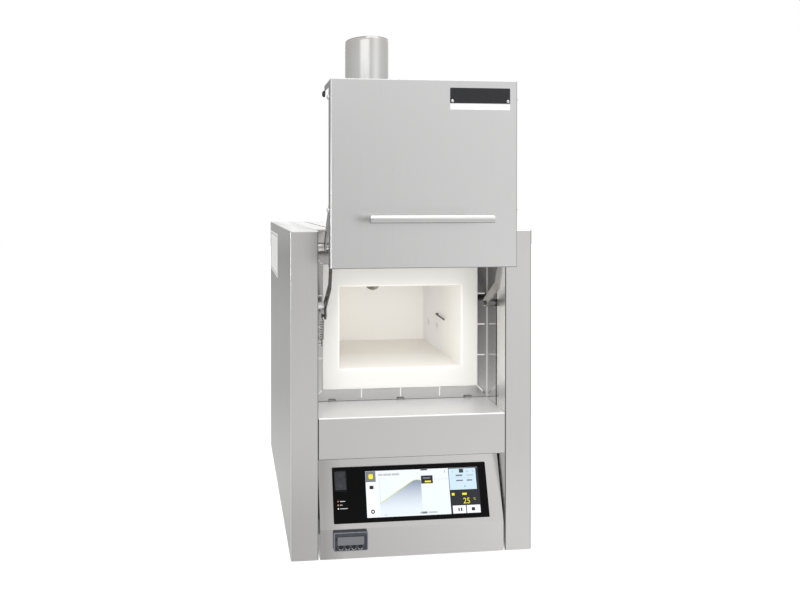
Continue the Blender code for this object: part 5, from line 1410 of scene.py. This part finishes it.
@dataclass
class PanelDetails(Panel):
    """Lamps, short printed marks beside them, and the rocker's frame and signs."""

    lamp_u: float = -0.1173
    lamp_top: float = 0.0399
    lamp_pitch: float = 0.0052
    lamp_radius: float = 0.00105
    mark_start: float = -0.1145
    mark_lengths: Tuple[float, ...] = (0.0085, 0.0040, 0.0120)
    mark_height: float = 0.0011
    rocker_low: Point = (-0.1217, 0.0545)
    rocker_high: Point = (-0.1033, 0.0843)
    rocker_frame: float = 0.0004
    rocker_middle: Point = (-0.1125, 0.0694)
    rocker_radius: float = 0.0144
    rocker_crown: float = 0.0042
    pivot_depth: float = 0.003

    def lamps(self) -> None:
        """Three small lamps with a printed mark beside each."""
        reach = self.lamp_radius
        dome = [(0, 0), (reach, 0), (reach * 0.85, 0.0002), (reach * 0.45, 0.00032), (0, 0.00036)]
        shape = Shape(self.frame())
        for number, finish in enumerate((LAMP_RED, LAMP_PINK, LAMP_WHITE)):
            v = self.lamp_top - self.lamp_pitch * number
            place = Matrix.Translation((self.lamp_u, v, self.glass))
            Shape(self.frame() @ place).lathe(dome, 24).piece(
                f"lamp_{number + 1}", finish, Body.CASING, Slot.LIGHT)
            half = self.mark_height / 2
            start, end = self.mark_start, self.mark_start + self.mark_lengths[number]
            outline = rounded_rectangle((start, v - half), (end, v + half), half * 0.9, 3)
            shape.slab(outline, self.glass, self.glass + 0.00005)
        shape.piece("lamp_marks", PANEL_MARK, Body.CASING, Slot.BLACK)

    def rocker(self) -> None:
        """A raised frame round the rocker, and its two signs that tilt with it."""
        border = self.rocker_frame
        outer = rounded_rectangle((self.rocker_low[0] - border, self.rocker_low[1] - border),
                                  (self.rocker_high[0] + border, self.rocker_high[1] + border), 0.0012)
        inner = rounded_rectangle(self.rocker_low, self.rocker_high, 0.0002)
        Shape(self.frame()).ring(outer, inner, self.glass, self.glass + 0.0006, 0.0002).piece(
            "rocker_frame", DARK_PLASTIC, Body.CASING, Slot.DARK)
        u, v = self.rocker_middle
        crown = Vector((0, self.rocker_crown))
        for name, angle in (("on", math.radians(16)), ("off", math.pi - math.radians(30))):
            rim = Vector((math.cos(angle), math.sin(angle))) * self.rocker_radius
            middle = crown.lerp(rim, 0.55)
            slope = (rim - crown).normalized()
            if slope.x < 0:
                slope = -slope
            up = Vector((0, slope.x, slope.y))
            out = Vector((0, -slope.y, slope.x))
            local = Matrix((Vector((1, 0, 0)), up, out)).transposed().to_4x4()
            place = Matrix.Translation((u, v + middle.x, middle.y - self.pivot_depth))
            shape = Shape(self.frame() @ place @ local)
            if name == "on":
                bar = rounded_rectangle((-0.0003, -0.0020), (0.0003, 0.0020), 0.0002, 3)
                shape.slab(bar, -0.0001, 0.00006)
            else:
                shape.ring(circle((0, 0), 0.0021), circle((0, 0), 0.0016), -0.0001, 0.00006)
            shape.piece(f"rocker_sign_{name}", ROCKER_SIGN, Body.ROCKER, Slot.DARK)

    def build(self) -> None:
        """Makes the lamps and the rocker's details."""
        self.lamps()
        self.rocker()


@dataclass
class Limiter:
    """The over-temperature limiter's face: edge, window, pads and four dished keys."""

    x: float = -0.0995
    z: float = 0.03115
    width: float = 0.0536
    height: float = 0.0290
    corner: float = 0.002
    edge: float = 0.0011
    key_pitch: float = 0.0101
    key_drop: float = 0.0094
    key_radius: float = 0.0028
    window_corner: float = 0.0014
    # Width and span of the painted highlight crescents below the keys.
    rim_highlight_width: float = 0.0011
    rim_highlight_turns: Tuple[float, float] = (math.radians(200), math.radians(340))

    def build(self) -> None:
        """Makes every piece of the limiter's face."""
        low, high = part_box("limiter_body")
        face = facing((self.x, low.y, self.z), (0, -1, 0))
        half = Vector((self.width / 2, self.height / 2))
        outer = rounded_rectangle(-half, half, self.corner)
        step_in = Vector((self.edge, self.edge))
        inner = rounded_rectangle(-half + step_in, half - step_in, self.corner - self.edge * 0.5)
        # The edge's lighter finish is a painted highlight.
        Shape(face).ring(outer, inner, -0.0003, 0.0002, 0.0001).piece(
            "limiter_edge", SLATE_EDGE, Body.CASING, Slot.SLATE)
        self.window()
        recess = facing((self.x, low.y + 0.0013, self.z), (0, -1, 0))
        pads = Shape(recess)
        for height in (0.0035, -0.0095):
            pad = rounded_rectangle((-0.0238, height - 0.0014), (-0.0216, height + 0.0014), 0.0004, 3)
            pads.slab(pad, 0, 0.0004, 0.0001)
        pads.piece("limiter_pads", ENAMEL, Body.CASING, Slot.DARK)
        # Light crescents below each key: painted highlights on the rims round the keys.
        rings = Shape(recess)
        for number in range(4):
            x = self.key_pitch * (number - 1.5)
            arc = crescent((x, -self.key_drop), self.key_radius + 0.0005, self.rim_highlight_width, *self.rim_highlight_turns)
            rings.slab(arc, 0, 0.0003)
        rings.piece("limiter_key_rim_highlights", KEY_RIM_HIGHLIGHT, Body.CASING, Slot.SLATE)
        self.keys()

    def window(self) -> None:
        """Replaces the window with one that has round corners."""
        low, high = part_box("limiter_window")
        frame = facing(((low.x + high.x) / 2, high.y, (low.z + high.z) / 2), (0, -1, 0))
        half = Vector(((high.x - low.x) / 2, (high.z - low.z) / 2))
        thickness = high.y - low.y
        Shape(frame).slab(rounded_rectangle(-half, half, self.window_corner), 0, thickness, 0.00025, 3).piece(
            "limiter_display", SMOKED, Body.CASING, Slot.WINDOW, ("limiter_window",))

    def keys(self) -> None:
        """Replaces the four keys with dished ones."""
        for number in range(1, 5):
            node = f"limiter_key_{number}"
            low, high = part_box(node)
            middle = (low + high) / 2
            radius, length = (high.x - low.x) / 2, high.y - low.y
            profile = [(0, 0), (radius, 0), (radius, length - 0.0004), (radius - 0.0002, length - 0.0001),
                       (radius - 0.0006, length), (radius * 0.6, length - 0.0003),
                       (radius * 0.3, length - 0.00042), (0, length - 0.00045)]
            frame = facing((middle.x, high.y, middle.z), (0, -1, 0))
            Shape(frame).lathe(profile, 40).piece(
                f"dished_key_{number}", ENAMEL, Body(node), Slot.DARK, (node,))


@dataclass
class CasingDetails:
    """Bare label plate on the left side, and the screws of the rear sheet."""

    plate_y: Tuple[float, float] = (0.068, 0.240)
    plate_z: Tuple[float, float] = (0.4075, 0.4925)
    plate_thickness: float = 0.00012
    print_margin: float = 0.004
    rear_columns: Tuple[float, ...] = (-0.178, 0.0, 0.178)
    rear_rows: Tuple[float, ...] = (0.022, 0.258, 0.494)
    screw_height: float = 0.0013

    def build(self) -> None:
        """Makes the plate and the screws."""
        low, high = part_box("side_cover_left")
        frame = facing((low.x, 0, 0), (-1, 0, 0))
        near, far = (-self.plate_y[1], self.plate_z[0]), (-self.plate_y[0], self.plate_z[1])
        Shape(frame).slab(rounded_rectangle(near, far, 0.003), 0, self.plate_thickness).piece(
            "side_plate", WHITE_FOIL, Body.CASING, Slot.BRIGHT)
        margin = Vector((self.print_margin, self.print_margin))
        outer, inner = (rounded_rectangle(Vector(near) + margin * step, Vector(far) - margin * step, 0.002)
                        for step in (1.0, 1.35))
        Shape(frame).ring(outer, inner, 0, self.plate_thickness + 0.00003).piece(
            "side_plate_border", FOIL_PRINT, Body.CASING, Slot.BRIGHT)
        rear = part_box("rear_cover")[1].y
        number = 0
        for x in self.rear_columns:
            for z in self.rear_rows:
                number += 1
                if x == 0 and z == self.rear_rows[1]:
                    continue
                SocketScrew(height=self.screw_height).build(
                    f"rear_screw_{number}", facing((x, rear, z), (0, 1, 0)), Body.CASING)


@dataclass
class Studio:
    """Camera, floor and soft lights."""

    sensor_width: float = 36.0
    focal_px: float = 561.18
    image_width: int = 800
    image_height: int = 600
    centre_px: Tuple[float, float] = (275.5, 205.36)
    place: Point = (-0.28512, -1.01868, 0.55596)
    yaw: float = 0.08129
    pitch: float = 0.00644
    roll: float = -0.00108
    floor_size: float = 12.0
    floor_white: float = 0.70
    surround: float = 0.61
    forward_gain: float = 0.12
    right_glow: Tuple[float, float, float] = (0.15, 0.50, 0.38)
    right_fall: Tuple[float, float, float] = (0.60, 0.90, -0.32)
    upper_glow: Tuple[float, float, float] = (0.05, 0.30, 0.12)
    floor_shades: Tuple[Tuple[Axis, float, float, float, float], ...] = (
        (Axis.Y, -1.4, -0.6, 0.0, 0.06), (Axis.Y, -6.0, -3.5, 0.05, 0.0), (Axis.Y, -0.1, 0.6, 0.0, -0.28),
        (Axis.Y, 1.5, 5.0, 0.0, -0.22), (Axis.X, -1.0, 0.6, -0.12, 0.05), (Axis.X, 0.6, 2.2, 0.0, 0.42))

    def camera(self) -> bpy.types.Object:
        """The camera at the photograph's place."""
        data = bpy.data.cameras.new("studio_camera")
        data.sensor_width = self.sensor_width
        data.lens = self.focal_px * data.sensor_width / self.image_width
        data.shift_x = (self.image_width / 2 - self.centre_px[0]) / self.image_width
        data.shift_y = (self.centre_px[1] - self.image_height / 2) / self.image_width
        made = placed("studio_camera", data)
        forward = Vector((
            math.sin(self.yaw) * math.cos(self.pitch),
            math.cos(self.yaw) * math.cos(self.pitch),
            -math.sin(self.pitch),
        ))
        right = Vector((math.cos(self.yaw), -math.sin(self.yaw), 0))
        up = right.cross(forward)
        turned_right = right * math.cos(self.roll) + up * math.sin(self.roll)
        turned_up = up * math.cos(self.roll) - right * math.sin(self.roll)
        matrix = Matrix((turned_right, turned_up, -forward)).transposed().to_4x4()
        made.matrix_world = Matrix.Translation(self.place) @ matrix
        bpy.context.scene.camera = made
        return made

    def floor(self) -> bpy.types.Object:
        """A wide pale floor."""
        data = bpy.data.meshes.new("studio_floor")
        half = self.floor_size / 2
        corners = [(-half, -half, 0), (half, -half, 0), (half, half, 0), (-half, half, 0)]
        data.from_pydata(corners, [], [(0, 1, 2, 3)])
        made = placed("studio_floor", data)
        data.materials.append(self.floor_paint())
        return made

    def floor_paint(self) -> bpy.types.Material:
        """White to the eye; what steel mirrors of it darkens to the back and brightens to the right."""
        graph = Graph("studio_floor_paint")
        seen = graph.add("LightPath").outputs["Is Camera Ray"]
        deep, across = graph.along(Axis.Y), graph.along(Axis.X)
        wide = graph.span(deep, -3.2, -1.4, 0.60, 0.80)
        for axis, low, high, start, end in self.floor_shades:
            wide = graph.math("ADD", wide, graph.span(graph.along(axis), low, high, start, end))
        close = graph.span(across, -0.20, 0.20, 0.64, 0.98)
        near = graph.math("MULTIPLY", graph.span(deep, -0.55, -0.30), graph.span(deep, -0.1, 0.1, 1, 0))
        glow = graph.span(near, 0, 1, wide, close)
        glow = graph.span(seen, 0, 1, glow, self.floor_white)
        return graph.finish({"Base Color": graph.mix(seen, (0, 0, 0), (0.95, 0.95, 0.95)), "Roughness": 0.9,
                             "Emission Color": (1, 1, 1, 1), "Emission Strength": glow})

    def light(self, name: str, place: Point, target: Point, size: Tuple[float, float], glow: float,
              mirrored: bool = True) -> None:
        """A rectangular soft light.

        Args:
            name: The light's name.
            place: Where it stands.
            target: What it faces.
            size: Its width and height.
            glow: How bright its face is.
            mirrored: Whether polished surfaces mirror it.
        """
        data = bpy.data.lights.new(name, "AREA")
        data.shape = "RECTANGLE"
        data.size, data.size_y = size
        data.energy = glow * math.pi * size[0] * size[1]
        made = placed(name, data)
        made.location = place
        made.rotation_mode = "QUATERNION"
        made.rotation_quaternion = (Vector(target) - Vector(place)).to_track_quat("-Z", "Y")
        made.visible_glossy = mirrored

    def world(self) -> None:
        """A white backdrop and, for everything it lights, a surround that is brighter to the front right."""
        world = bpy.data.worlds.new("studio_world")
        world.use_nodes = True
        tree = world.node_tree
        tree.nodes.clear()

        def node(kind: str, **settings: Any) -> bpy.types.Node:
            """Adds a node to the world."""
            made = tree.nodes.new("ShaderNode" + kind)
            for key, value in settings.items():
                setattr(made, key, value)
            return made

        split = node("SeparateXYZ")
        tree.links.new(node("TexCoord").outputs["Generated"], split.inputs[0])
        start = node("Math", operation="MULTIPLY_ADD")
        tree.links.new(split.outputs[1], start.inputs[0])
        start.inputs[1].default_value = -self.forward_gain
        start.inputs[2].default_value = self.surround
        total = start.outputs[0]
        for output, (low, high, gain) in ((0, self.right_glow), (0, self.right_fall), (2, self.upper_glow)):
            rise = node("MapRange")
            tree.links.new(split.outputs[output], rise.inputs["Value"])
            for socket, value in (("From Min", low), ("From Max", high), ("To Min", 0.0), ("To Max", gain)):
                rise.inputs[socket].default_value = value
            step = node("Math", operation="ADD")
            tree.links.new(total, step.inputs[0])
            tree.links.new(rise.outputs["Result"], step.inputs[1])
            total = step.outputs[0]
        lighting = node("Background")
        tree.links.new(total, lighting.inputs["Strength"])
        backdrop = node("Background")
        backdrop.inputs["Color"].default_value = (1, 1, 1, 1)
        chooser = node("MixShader")
        tree.links.new(node("LightPath").outputs["Is Camera Ray"], chooser.inputs[0])
        tree.links.new(lighting.outputs[0], chooser.inputs[1])
        tree.links.new(backdrop.outputs[0], chooser.inputs[2])
        lighting.inputs["Color"].default_value = (1, 1, 1, 1)
        tree.links.new(chooser.outputs[0], node("OutputWorld").inputs[0])
        bpy.context.scene.world = world

    def build(self) -> None:
        """Sets up the whole studio."""
        self.camera()
        self.floor()
        self.world()
        bpy.context.scene.view_settings.view_transform = "Standard"
        self.light("box_left", (-1.55, -2.05, 1.10), (0, 0, 0.6), (1.2, 2.2), 1.1, False)
        self.light("box_right", (1.35, -1.95, 0.80), (0, -0.1, 0.45), (1.0, 1.9), 0.3, False)
        self.light("box_front", (-1.10, -2.34, 1.70), (0, 0.134, 0.85), (2.3, 0.6), 0.75)
        self.light("strip_left", (-2.5, -0.65, 0.46), (-0.19, -0.164, 0.46), (0.5, 0.75), 5.0)
        self.light("box_top", (0.3, -0.9, 2.4), (0, 0, 0.4), (2.0, 1.6), 1.2)
        self.light("backdrop", (0.85, 3.0, 1.6), (0.85, 0, 1.4), (2.2, 1.9), 0.85)
        self.light("mouth_fill", (-0.1, -1.7, 0.55), (0, 0, 0.35), (0.7, 0.7), 2.3, False)
        self.light("chamber_fill", (0, -0.108, 0.3465), (0, 0.1, 0.3465), (0.20, 0.13), 0.54, False)


def main() -> None:
    """Builds the furnace's looks piece by piece and reports each."""
    logging.basicConfig(level=logging.INFO, format="%(message)s")
    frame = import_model()
    Studio().build()
    CarriedNodes().dress(frame["nodes"])
    parts = (Chimney(), DoorFront(), DoorHandle(), FibreCollar(), SlotFibre(), PivotPins(), LiftSpring(),
             Display(), PanelDetails(), Limiter(), CasingDetails())
    for part in parts:
        LOG.info("building %s", type(part).__name__)
        part.build()
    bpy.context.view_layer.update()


if __name__ == "__main__":
    main()
